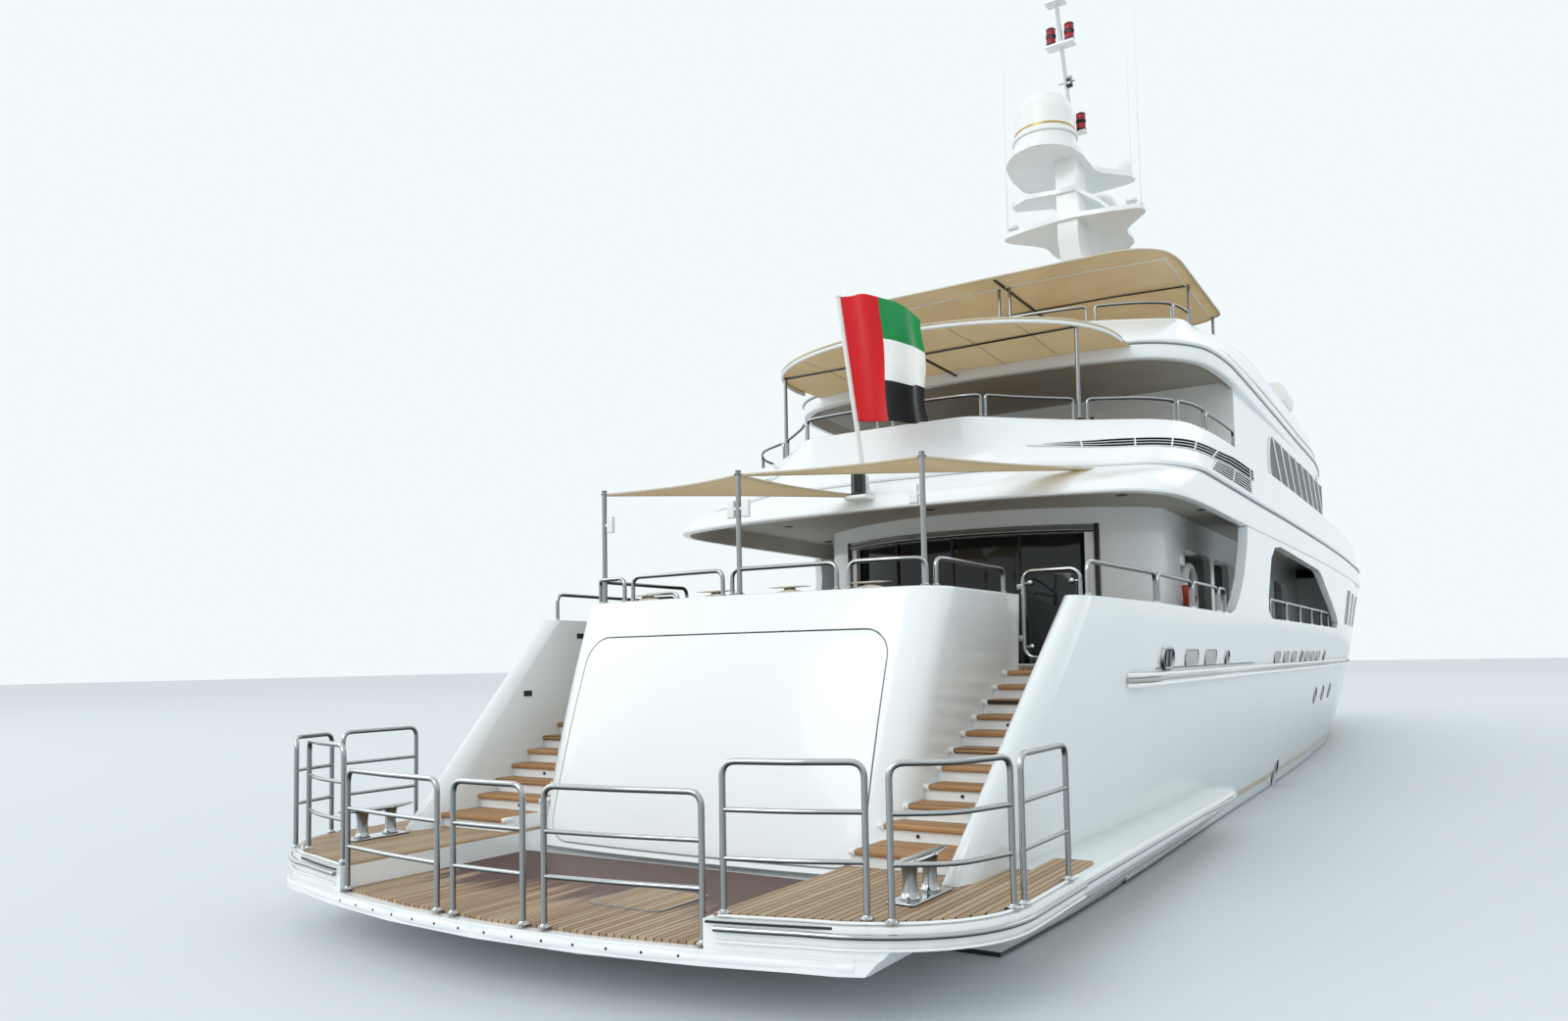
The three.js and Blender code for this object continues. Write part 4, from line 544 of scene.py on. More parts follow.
SUN_EDGE = [(10.7, 0), (10.77, 1), (10.94, 1.87), (11.64, 3.09), (12.34, 3.25), (13.3, 3.49), (15, 3.65),
            (20, 3.66), (24, 3.62), (27.0, 2.95), (27.8, 2.15), (28.2, 0)]


def with_side(rows, inset):
    """Adds the long side and the round front of the upper deck to its aft rows."""
    side = [(x, float(hull_half(x, FASCIA_LOW)) - inset) for x in (13, 16, 22, 28, 33)]
    return rows + side + [(34.6, 2.6 - inset), (35.3 - inset, 0)]


def ring(rows, count):
    """A closed deck edge through its port rows and their mirror images, from the stern centre by port."""
    rows = np.asarray(rows, float)
    whole = np.concatenate([rows, rows[1:-1][::-1] * (1, -1)])
    around = np.concatenate([whole[-3:], whole, whole[:4]])
    s = np.linspace(3, 3 + len(whole), count, endpoint=False)
    slope = np.gradient(around, axis=0)
    # Slopes follow the shorter neighbouring chord, so that an uneven row doesn't overshoot
    back = np.linalg.norm(np.diff(around, axis=0, prepend=around[:1]), axis=1)
    ahead = np.linalg.norm(np.diff(around, axis=0, append=around[-1:]), axis=1)
    limit = 2 * np.minimum(np.maximum(back, 1e-6), np.maximum(ahead, 1e-6)) / np.maximum(back + ahead, 1e-6)
    k = np.clip(s.astype(int), 0, len(around) - 2)
    return raised(hermite(around, slope * limit[:, None], k, (s - k)[:, None]), 0)


def shifted(path, distance):
    """A closed path moved outward by a distance."""
    return path - distance * plan_normals(path, closed=True) * (1 if turns_left(path) else -1)


def turns_left(path):
    """Whether a closed path runs counter-clockwise, by the sign of its area."""
    x, y = path[:, 0], path[:, 1]
    return float(np.sum(x * np.roll(y, -1) - np.roll(x, -1) * y)) > 0


def at_height(path, z):
    """A copy of the path at a height, or at a height for each point."""
    level = path.copy()
    level[:, 2] = z
    return level


def between(a, b, t):
    """The point at a share of the way from a to b."""
    return a + (b - a) * t


def ruled(a, b, count):
    """Points in straight lines from each point of one edge to its fellow on the other."""
    t = np.linspace(0, 1, count)[None, :, None]
    return a[:, None] * (1 - t) + b[:, None] * t


def lid(path, z):
    """A level surface in a closed symmetrical path: lines from its port points to their mirror images."""
    half = len(path) // 2
    port = path[:half + 1]
    starboard = np.concatenate([path[:1], path[::-1][:half]])
    points = ruled(port, starboard, 9)
    points[..., 2] = z
    return points


def build_upper_deck(finish, sizes):
    """Section carried round the deck edge: ceiling lip, convex fascia, gutter, leaning bulwark, deck."""
    count = 240
    foot, gutter, top = (ring(with_side(rows, inset), count) for rows, inset in
                         ((FASCIA_FOOT, 0.0), (GUTTER, 0.02), (UPPER_EDGE, 0.12)))
    t = np.linspace(0, 1, 9)
    rows = [at_height(shifted(foot, -0.12), FASCIA_LOW), at_height(shifted(foot, -0.03), FASCIA_LOW),
            at_height(shifted(foot, -0.008), FASCIA_LOW + 0.01), at_height(foot, FASCIA_LOW + 0.035)]
    for k in t[1:]:
        # The fascia swells: its rise leads its run from foot to gutter
        swell = 0.35 * k + 0.65 * k * k
        rows.append(at_height(between(foot, gutter, swell), between(FASCIA_FROM, FASCIA_TO, k)))
    for k in t[1:]:
        wall = shifted(between(gutter, top, k), -0.07 * (1 - k))
        rows.append(at_height(wall, between(WALL_FROM, WALL_TO, k)))
    for angle in np.linspace(0, math.pi, 7)[1:]:
        rows.append(at_height(shifted(top, -0.1 + 0.1 * math.cos(angle)), WALL_TO + 0.03 * math.sin(angle)))
    rows.append(at_height(shifted(top, -0.2), UPPER_DECK))
    shape = Shape().grid(np.stack(rows), wrap_v=True)
    shape.grid(lid(shifted(top, -0.2), UPPER_DECK)[:, ::-1], slot=1)
    ceiling = between(foot, gutter, 0.5)
    shape.grid(np.stack([rows[0], at_height(shifted(ceiling, -0.2), UPPER_CEILING)]), wrap_v=True, slot=2)
    shape.grid(lid(shifted(ceiling, -0.2), UPPER_CEILING), slot=2)
    return shape.make("upper_deck_shell", [finish.paint, finish.teak, finish.ceiling], "white_paint",
                      stands_for=["upper_deck"], closed=False)


def build_sun_deck(finish, sizes):
    """As the upper deck: a rounded edge band, a ledge, then the leaning bulwark that rises forward."""
    count = 220
    foot, top = ring(SUN_FOOT, count), ring(SUN_EDGE, count)
    rise = np.clip((top[:, 0] - 26.5) / 1.2, 0, 1) * 0.2
    rows = [at_height(shifted(foot, -0.12), SUN_LOW)]
    for angle in np.linspace(0, math.pi / 2, 4):
        low = SUN_LOW + 0.04 - 0.04 * math.cos(angle)
        rows.append(at_height(shifted(foot, -0.04 + 0.04 * math.sin(angle)), low))
    for angle in np.linspace(0, math.pi / 2, 4):
        rows.append(at_height(shifted(foot, -0.06 + 0.06 * math.cos(angle)), 7.33 + 0.06 * math.sin(angle)))
    rows.append(at_height(between(foot, top, 0.13), 7.42))
    for k in np.linspace(0, 1, 9):
        lean = 0.15 + 0.85 * (0.75 * k + 0.25 * k * k)
        rows.append(at_height(between(foot, top, lean), SCREEN_FROM + (SCREEN_TO - SCREEN_FROM + rise) * k))
    for angle in np.linspace(0, math.pi, 7)[1:]:
        high = SCREEN_TO + rise + 0.03 * math.sin(angle)
        rows.append(at_height(shifted(top, -0.1 + 0.1 * math.cos(angle)), high))
    rows.append(at_height(shifted(top, -0.2), SUN_DECK))
    shape = Shape().grid(np.stack(rows), wrap_v=True)
    shape.grid(lid(shifted(top, -0.2), SUN_DECK)[:, ::-1], slot=1)
    shape.grid(np.stack([rows[0], at_height(shifted(foot, -0.32), SUN_CEILING)]), wrap_v=True, slot=2)
    shape.grid(lid(shifted(foot, -0.32), SUN_CEILING), slot=2)
    half = count // 2 + 1
    beads, shadow_lines = Shape(), Shape()
    for line, z, size in ((shifted(foot, 0.005), 7.375, 0.035),
                          (shifted(between(foot, top, 0.42), 0.01), 7.62, 0.03)):
        beads.tube(at_height(line, z)[:half], size, 10, ref=UP)
        # Under each bead runs a thin grey line: painted shadow
        shadow_lines.tube(at_height(shifted(line, -0.006), z - size - 0.008)[:half], 0.014, 8, ref=UP)
    beads.mirror().make("sun_deck_beads", finish.paint, "white_paint", sharp=60)
    shadow_lines.mirror().make("sun_deck_shadow_lines", finish.shadow_paint, "white_paint", sharp=60)
    return shape.make("sun_deck_shell", [finish.paint, finish.teak, finish.ceiling], "white_paint",
                      stands_for=["sun_deck"], closed=False)



def platform_aft(start, y):
    """The platform's aft edge at a distance from the centreline: a parabola from its start."""
    return start + PLATFORM_CURVE * y * y


def hoop(shape, feet, height, levels, radius):
    """A rail over its feet: up, along with bent corners, down; level rails and a flange at each foot."""
    feet = np.asarray(feet, float)
    top = feet + (0, 0, height)
    shape.tube(rounded_path(np.concatenate([feet[:1], top, feet[-1:]]), 0.11), radius, 14)
    for level in levels:
        shape.tube(rounded_path(feet + (0, 0, height * level), 0.2, 4), radius * 0.8, 12)
    flange = [(radius * 2, 0.0), (radius * 2, 0.006), (radius * 1.4, 0.014), (radius * 1.05, 0.03)]
    for x, y, z in (feet[0], feet[-1]):
        shape.turned(flange, x, y, z, 16)


def edge_hoops(shape, rows, z, height, spans, radius):
    """Hoops along both halves of a deck edge: a hoop's ends count the edge's corners from the centreline."""
    rows = np.asarray(rows, float)
    whole = np.concatenate([rows[1:][::-1] * (1, -1), rows])
    path = curve_through(raised(whole, z), 161)
    path = (path - 0.1 * plan_normals(path))[80:]
    chord = np.concatenate([[0], np.cumsum(np.linalg.norm(np.diff(rows, axis=0), axis=1))])
    for a, b in spans:
        place = np.interp(np.linspace(a, b, 12), np.arange(len(rows)), chord) / chord[-1] * 80
        feet = np.stack([np.interp(place, np.arange(81), path[:, k]) for k in range(3)], -1)
        for sign in (1, -1):
            hoop(shape, feet * (1, sign, 1), height, (), radius)


def build_rails(finish, sizes):
    """Every guard rail: bent round tubes with round feet, on the same plan paths as the CAD rails."""
    radius, levels = sizes.rail_radius, (0.36, 0.68)
    low = Shape()
    for a, b in ((2.06, 0.58), (0.37, -0.44), (-0.66, -2.06)):
        hoop(low, [(platform_aft(-0.28, y), y, LOW_TEAK) for y in (a, (a + b) / 2, b)], 1.1, levels, radius)
    low.make("platform_rails_centre", finish.steel, "steel", stands_for=["rails_platform_centre"])
    runs = [[(0, 2.21), (0.12, 2.75), (0.32, 3.22)], [(0.31, 3.42), (0.55, 3.82), (1.13, 4.0)],
            [(1.29, 4.02), (2.31, 4.03)]]
    for side, sign in SIDES:
        shape = Shape()
        for run in runs:
            hoop(shape, [(x, sign * y, STEP_TEAK) for x, y in run], 1.1, levels, radius)
        shape.make(f"platform_rails_{side}", finish.steel, "steel", stands_for=[f"rails_platform_{side}"])
        for name, spans in (("rails_bulwark", ((4.36, 6.63), (6.75, 8.51), (8.65, 10.21), (10.35, 10.8))),
                            ("rails_side_deck", ((14.75, 16.5), (16.6, 18.4), (18.5, 20.2), (20.3, 21.9),
                                                 (22, 23.6)))):
            shape = Shape()
            for a, b in spans:
                hoop(shape, [(x, sign * (float(hull_half(x, BULWARK)) - 0.07), BULWARK) for x in (a, b)],
                     0.36, (), radius)
            shape.make(f"hoops_{name[6:]}_{side}", finish.steel, "steel", stands_for=[f"{name}_{side}"])
    shape = Shape()
    for run in TRANSOM_HOOPS:
        hoop(shape, [(x, y, TRANSOM_TOP) for x, y in run], 0.29, (), radius)
    for x, y in SHADE_POSTS:
        shape.turned([(0.06, 0), (0.06, 0.012), (0.034, 0.03), (0.03, 0.03), (0.03, 1.38), (0.034, 1.385),
                      (0.034, 1.405), (0.02, 1.41)], x, y, TRANSOM_TOP, 18)
    shape.make("transom_rails_and_sail_posts", finish.steel, "steel", stands_for=["rails_transom"])
    boxes = Shape()
    for (x, y), sides in zip(SHADE_POSTS, ((-1,), (-1, 1), (1,))):
        for side in sides:
            boxes.block(x - 0.03, x + 0.03, y + side * 0.05, y + side * 0.15, 4.22, 4.42, 0.012)
            boxes.tube([(x, y + side * reach, 4.32) for reach in (0, 0.03, 0.06)], 0.02, 8, ref=UP)
    boxes.make("sail_post_boxes", finish.plastic, "white_plastic", sharp=50)
    for name, rows, z, height, spans in (
            ("rails_upper", UPPER_EDGE + [(13, float(hull_half(13, FASCIA_LOW)) - 0.12)], UPPER_BULWARK, 0.3,
             ((0.15, 2.22), (2.32, 3.9), (4.1, 5.68), (5.82, 6.52), (6.66, 7.6))),
            ("rails_sun", SUN_EDGE[:5], SUN_BULWARK, 0.25, ((0.15, 1.95), (2.07, 3), (3.12, 3.9)))):
        shape = Shape()
        edge_hoops(shape, rows, z, height, spans, radius * 0.9)
        shape.make(f"{name}_tubes", finish.steel, "steel", stands_for=[name])


def sheet_mesh(name, points, material, node, size, slot="canvas", thick=0.003, wrap_v=False):
    """A sheet on a grid with its UVs in model metres, given its thickness by Solidify."""
    shape = Shape().grid(points, wrap_v=wrap_v, size=size)
    piece = shape.make(name, material, slot, stands_for=[node], closed=False)
    wall = piece.modifiers.new("thickness", "SOLIDIFY")
    wall.thickness = thick
    wall.offset = 0
    return piece


def build_sails(finish, sizes):
    """Two shades held at three corners: a triangle with hollow edges whose middle hangs lower."""
    posts = dict(zip(("port", "centre", "starboard"), SHADE_POSTS))
    top = 4.7
    corners = {"port": [posts["port"] + (top,), (6.78, 0.1, 4.87), posts["centre"] + (top,)],
               "starboard": [posts["centre"] + (top,), (7.65, -2.9, 5.05), posts["starboard"] + (top,)]}
    for side, (a, b, c) in corners.items():
        a, b, c = (np.array(p, float) for p in (a, b, c))
        u, v = np.meshgrid(np.linspace(0, 1, 37), np.linspace(0, 1, 37), indexing="ij")
        i, j, k = 1 - u, u * (1 - v), u * v
        flat = i[..., None] * a + j[..., None] * b + k[..., None] * c
        centre = (a + b + c) / 3
        hollow = 0.17 * (4 * i * j * (1 - k) ** 2 + 4 * j * k * (1 - i) ** 2 + 4 * k * i * (1 - j) ** 2)
        points = flat + (centre - flat) * hollow[..., None]
        points[..., 2] -= sizes.sail_sag * 12 * i * j * k
        piece = sheet_mesh(f"sail_{side}", points, finish.canvas, f"shade_sail_{side}", (0.05, 0.05))
        hem = Shape()
        for edge in (points[:, 0], points[:, -1], points[-1]):
            hem.tube(edge, 0.016, 8, ref=UP)
        for corner in (a, b, c):
            hem.turned([(0.0, 0), (0.05, 0.004), (0.05, 0.012), (0.0, 0.02)], *corner, 14, slot=1)
        trim = hem.make(f"sail_{side}_hem", [finish.piping, finish.steel], "canvas", sharp=60)


def awning_rim():
    """The awning's aft edge seen from above: a half oval, blunter than an ellipse."""
    angle = np.linspace(-math.pi / 2, math.pi / 2, 61)
    return np.stack([9.5 - 2.3 * np.abs(np.cos(angle)) ** 0.85, 2.74 * np.sin(angle)], -1)


def build_canopies(finish, sizes):
    """Awning: half-oval sheet sagging between its tubes. Bimini: crowned rounded sheet over three arches."""
    rim = awning_rim()
    flat = ruled(rim, np.stack([np.full(61, 10.42), rim[:, 1]], -1), 25)
    x, y = flat[..., 0], flat[..., 1]
    edge = np.clip(1 - (y / 2.76) ** 2, 0, 1)
    sag = sizes.awning_sag * edge * np.sin(np.clip((x - 7.2) / 1.2, 0, 1) * math.pi) ** 2
    sag += sizes.awning_sag * edge * np.sin(np.clip((x - 8.4) / 2.0, 0, 1) * math.pi) ** 2
    sag *= np.abs(np.sin(y / 2.74 * math.pi)) ** 0.5
    z = AWNING_TOP - 0.004 - sag
    piece = sheet_mesh("awning_sheet", np.stack([x, y, z], -1), finish.canvas, "awning", (0.04, 0.03))
    trim = Shape().tube(raised(rim, AWNING_TOP - 0.008), 0.022, 8, ref=UP)
    for y0 in (-1.7, -0.85, 0.85, 1.7):
        span = np.linspace(7.45 + 0.12 * y0 * y0, 10.3, 30)
        row = 30 + int(y0 / 2.74 * 20)
        height = np.interp(span, x[row], z[row])
        trim.tube(np.stack([span, np.full(30, y0), height], -1), 0.008, 6, ref=UP)
    hem = trim.make("awning_piping", finish.piping, "canvas", sharp=60)
    outline = rounded_box(11.5, 16.5, -3.05, 3.05, 0.9, 10)
    centre = np.array([14.0, 0.0])
    flat = centre + (outline - centre)[None] * np.linspace(1, 0, 24)[:, None, None]
    x, y = flat[..., 0], flat[..., 1]
    bars = np.array([11.5, 12.1, 13.7, 15.9, 16.5])
    k = np.clip(np.searchsorted(bars, x) - 1, 0, 3)
    part = (x - bars[k]) / (bars[k + 1] - bars[k])
    sag = sizes.awning_sag * 0.9 * np.sin(np.clip(part, 0, 1) * math.pi) ** 2
    sag *= np.where((k == 0) | (k == 3), 0.3, 1)
    z = np.interp(y, CROWN_Y, CROWN_Z) - sag * np.clip(1 - (y / 3.05) ** 2, 0, 1)
    piece = sheet_mesh("bimini_sheet", np.stack([x, y, z], -1), finish.canvas, "bimini", (0.05, 0.03),
                       wrap_v=True)
    rim = Shape().tube(np.column_stack([outline, np.interp(outline[:, 1], CROWN_Y, CROWN_Z)]), 0.022, 8,
                       closed=True, ref=UP)
    hem = rim.make("bimini_piping", finish.piping, "canvas", sharp=60)


def build_canopy_frames(finish, sizes):
    """The canopies' frames: steel poles and cross bars, with pale tubes where the frame follows a hem."""
    z = AWNING_TOP - 0.0535
    flange = [(0.06, 0.0), (0.06, 0.01), (0.045, 0.02), (0.032, 0.03)]
    pale = Shape().tube(raised(awning_rim(), z), 0.028, 12, ref=UP)
    pale.make("awning_rim_tube", finish.plastic, "steel", sharp=60)
    steel = Shape().tube([(8.4, y, z) for y in (-2.5, 0, 2.5)], 0.022, 12, ref=UP)
    x, foot = 8.375, 5.921
    for y in (-2.42, 2.42):
        steel.tube([(x, y, foot), (x, y, 6.6), (x, y, z)], 0.03, 16, ref=AHEAD)
        steel.turned(flange, x, y, foot, 16)
    steel.make("awning_poles_and_bar", finish.steel, "steel", stands_for=["awning_frame"])
    y = np.linspace(-2.9, 2.9, 31)
    arch = np.interp(y, CROWN_Y[1:-1], CROWN_Z[1:-1]) - 0.055
    pale, steel = Shape(), Shape()
    for x in (12.1, 15.9):
        pale.tube(np.stack([np.full(31, x), y, arch], -1), 0.016, 10, ref=AHEAD)
    for side in (-2.84, 2.84):
        pale.tube([(x, side, 9.262) for x in (12.05, 14, 15.95)], 0.016, 10, ref=UP)
    steel.tube(np.stack([np.full(31, 13.7), y, arch], -1), 0.024, 12, ref=AHEAD)
    foot = SUN_DECK + 0.002
    for x, half, top in ((12.1, 0.1, 9.33), (13.7, 2.88, 9.26), (15.9, 2.88, 9.26)):
        for y in (-half, half):
            steel.tube([(x, y, foot), (x, y, 8.3), (x, y, top)], 0.028, 16, ref=AHEAD)
            steel.turned(flange, x, y, foot, 16)
    pale.make("bimini_pale_bars", finish.plastic, "steel", sharp=60)
    steel.make("bimini_poles_and_bar", finish.steel, "steel", stands_for=["bimini_frame"])


def build_ensign(finish, sizes):
    """The flag hangs from the raked staff to starboard: folds that deepen to the fly, whose end droops."""
    u, v = np.meshgrid(np.linspace(0, 1, 81), np.linspace(0, 1, 51), indexing="ij")
    high = 5.83 + 1.6 * v - u * (0.16 - 0.05 * v) - 0.42 * u**3 * v
    staff = 6.6 - 0.74 * (high - 4.7) / 2.77
    wave = sizes.flag_wave * u**0.8
    fold = wave * np.sin(10.5 * u + 1.6 * v) + 0.45 * wave * np.sin(19 * u - 2.2 * v + 0.8)
    x = staff + fold - 0.05 * u
    y = -0.02 - 1.2 * u * (1 - 0.1 * (1 - v)) + 0.03 * np.sin(8 * v) * u
    cloth = np.stack([x, y, high], -1)
    piece = sheet_mesh("ensign_cloth", cloth, finish.flag, "ensign", (1 / 80, 1 / 50), "flag_cloth", 0.0015)


def cushion(shape, x0, x1, y0, y1, z0, z1, crown, radius=0.08):
    """A crowned pad: an outline whose edge is a half circle and whose top swells to the middle."""
    outline = rounded_box(x0, x1, y0, y1, radius, 6)
    centre = outline.mean(0)
    thick = z1 - z0
    rings, heights = [], []
    for angle in np.linspace(-math.pi / 2, math.pi / 2, 13):
        inset = 0.5 * thick * (1 - math.cos(angle)) * 0.6
        rings.append(centre + (outline - centre) * (1 - inset / (0.5 * min(x1 - x0, y1 - y0))))
        heights.append(z0 + thick * (0.5 + 0.5 * math.sin(angle)))
    first, last = rings[0], rings[-1]
    for k in (0.8, 0.55, 0.3, 0.08):
        rings.append(centre + (last - centre) * k)
        heights.append(z1 + crown * (1 - k * k))
    rings = [centre + (first - centre) * k for k in (0.08, 0.5)] + rings
    points = np.stack([raised(path, z) for path, z in zip(rings, [z0, z0] + heights)])
    shape.grid(points, wrap_v=True, caps=True, size=(0.02, 0.02))


def build_cushions(finish, sizes):
    """The aft sofa: three seat pads and four back pads inside the CAD cushion's space."""
    shape = Shape()
    for y0, y1 in ((-2.0, -0.68), (-0.66, 0.66), (0.68, 2.0)):
        cushion(shape, 3.86, 4.32, y0, y1, 2.832, 2.965, 0.02)
    seats = shape.make("sofa_seat_pads", finish.cushion, "cushion", stands_for=["sofa_cushions"], sharp=180)
    shape = Shape()
    for y0, y1 in ((-2.0, -1.02), (-1.0, -0.01), (0.01, 1.0), (1.02, 2.0)):
        cushion(shape, 3.6, 3.83, y0, y1, 2.84, 3.43, 0.012, 0.07)
    backs = shape.make("sofa_back_pads", finish.cushion, "cushion", stands_for=["sofa_cushions"], sharp=180)


def soften_group(degrees):
    """Geometry nodes that weld loose triangles and shade them smooth, but for edges sharper than an angle."""
    name = f"soften_{int(degrees)}"
    if name in bpy.data.node_groups:
        return bpy.data.node_groups[name]
    tree = bpy.data.node_groups.new(name, "GeometryNodeTree")
    tree.interface.new_socket("Geometry", in_out="INPUT", socket_type="NodeSocketGeometry")
    tree.interface.new_socket("Geometry", in_out="OUTPUT", socket_type="NodeSocketGeometry")
    start, end = add(tree, "NodeGroupInput"), add(tree, "NodeGroupOutput")
    weld = add(tree, "GeometryNodeMergeByDistance", {"Geometry": start.outputs[0]}, Distance=0.00002)
    angle = add(tree, "GeometryNodeInputMeshEdgeAngle")
    sharp = add(tree, "FunctionNodeCompare", {0: angle.outputs[0]}, data_type="FLOAT",
                operation="GREATER_THAN", i1=math.radians(degrees))
    faces = add(tree, "GeometryNodeSetShadeSmooth", {0: weld.outputs[0]}, domain="FACE")
    edges = add(tree, "GeometryNodeSetShadeSmooth", {0: faces.outputs[0], 1: sharp.outputs[0]}, domain="EDGE")
    edges.inputs[2].default_value = False
    tree.links.new(edges.outputs[0], end.inputs[0])
    return tree


def dress_nodes(finish):
    """Gives every CAD node its material, and soft shading where its surfaces are round."""
    by_slot = {"hull_paint": finish.hull, "white_paint": finish.paint, "teak": finish.teak,
               "steel": finish.steel, "dark_glass": finish.glass, "canvas": finish.canvas,
               "cushion": finish.cushion, "flag_cloth": finish.flag, "white_plastic": finish.plastic,
               "bronze": finish.bronze}
    slots = node_slots()
    for name, node in frame["nodes"].items():
        own = {"platform_teak_centre": finish.teak_wet, "topsides": finish.hull}
        node.data.materials.clear()
        node.data.materials.append(own.get(name, by_slot[slots[name]]))
        modifier = node.modifiers.new("soften", "NODES")
        turned = name.startswith(("mast", "rudder", "propeller", "liferaft"))
        modifier.node_group = soften_group(78 if turned else 62 if name in ("hull", "topsides") else 34)


def node_slots():
    """The record's material slot of each node."""
    return {part["node"]: part["material_slot"] for part in frame["record"]["subparts"]}


def real(points):
    """Model metres back to real ones: the reverse of model()."""
    return np.asarray(points, float) / MODEL_SCALE + (MIDSHIPS, 0.0, 0.0)


def node_copy(name, title, material, move):
    """A merged copy of a CAD node, standing for it, whose vertices pass through move() in real metres."""
    node = frame["nodes"][name]
    mesh = node.data.copy()
    mesh.name = title
    mesh.transform(node.matrix_world)
    merge_points(mesh, False)
    flat = np.empty(len(mesh.vertices) * 3)
    mesh.vertices.foreach_get("co", flat)
    mesh.vertices.foreach_set("co", model(move(real(flat.reshape(-1, 3)))).ravel())
    mesh.materials.clear()
    return new_piece(title, mesh, material, BODY, [name], 40)


def transom_lines(z):
    """The skin's aft line, its flat half width, and the centre of its corner arcs, at a height."""
    rise = z - STEP_TEAK
    aft = 2.42 + 0.27 * rise + 0.03 * rise**2
    flat = BULGE_HALF - 0.1 * (TRANSOM_TOP - z) / 2.795 - TRANSOM_CORNER
    return aft, flat, aft + TRANSOM_CURVE * flat**2 + TRANSOM_CORNER


def transom_place(s, z, off=0.0):
    """The transom's skin at a run s from the centreline and a height, at a depth off under it.

    Across the middle the distance grows with s squared from the aft line; past the flat half width comes a
    quarter circle of the corner's radius, then a straight side forward.
    """
    s, z, off = np.broadcast_arrays(np.asarray(s, float), z, off)
    aft, flat, bend = transom_lines(z)
    run = np.abs(s)
    angle = np.clip((run - flat) / TRANSOM_CORNER, 0, math.pi / 2)
    ahead = np.maximum(run - flat - TRANSOM_CORNER * math.pi / 2, 0)
    reach = TRANSOM_CORNER - off
    x = np.where(run <= flat, aft + TRANSOM_CURVE * s**2 + off, bend - reach * np.cos(angle) + ahead)
    y = np.where(run <= flat, run, flat + reach * np.sin(angle))
    return np.stack([x, np.sign(s) * y, z], -1)


def transom_run(z):
    """The run s at which the skin's side ends forward."""
    _, flat, bend = transom_lines(z)
    return flat + TRANSOM_CORNER * math.pi / 2 + HOUSING_FRONT - bend


def rounded_reach(direction, half_wide, half_high, radius):
    """Where a ray from the centre leaves a rounded rectangle: at a side, or at the circle of a corner."""
    d = unit(direction)
    wide, high = np.abs(d[:, 0]), np.abs(d[:, 1])
    reach = np.minimum(half_wide / np.maximum(wide, 1e-9), half_high / np.maximum(high, 1e-9))
    cu, cv = half_wide - radius, half_high - radius
    corner = (reach * wide > cu) & (reach * high > cv)
    b = wide * cu + high * cv
    arc = b + np.sqrt(np.maximum(b * b - cu * cu - cv * cv + radius * radius, 0))
    return np.where(corner, arc, reach)[:, None] * d


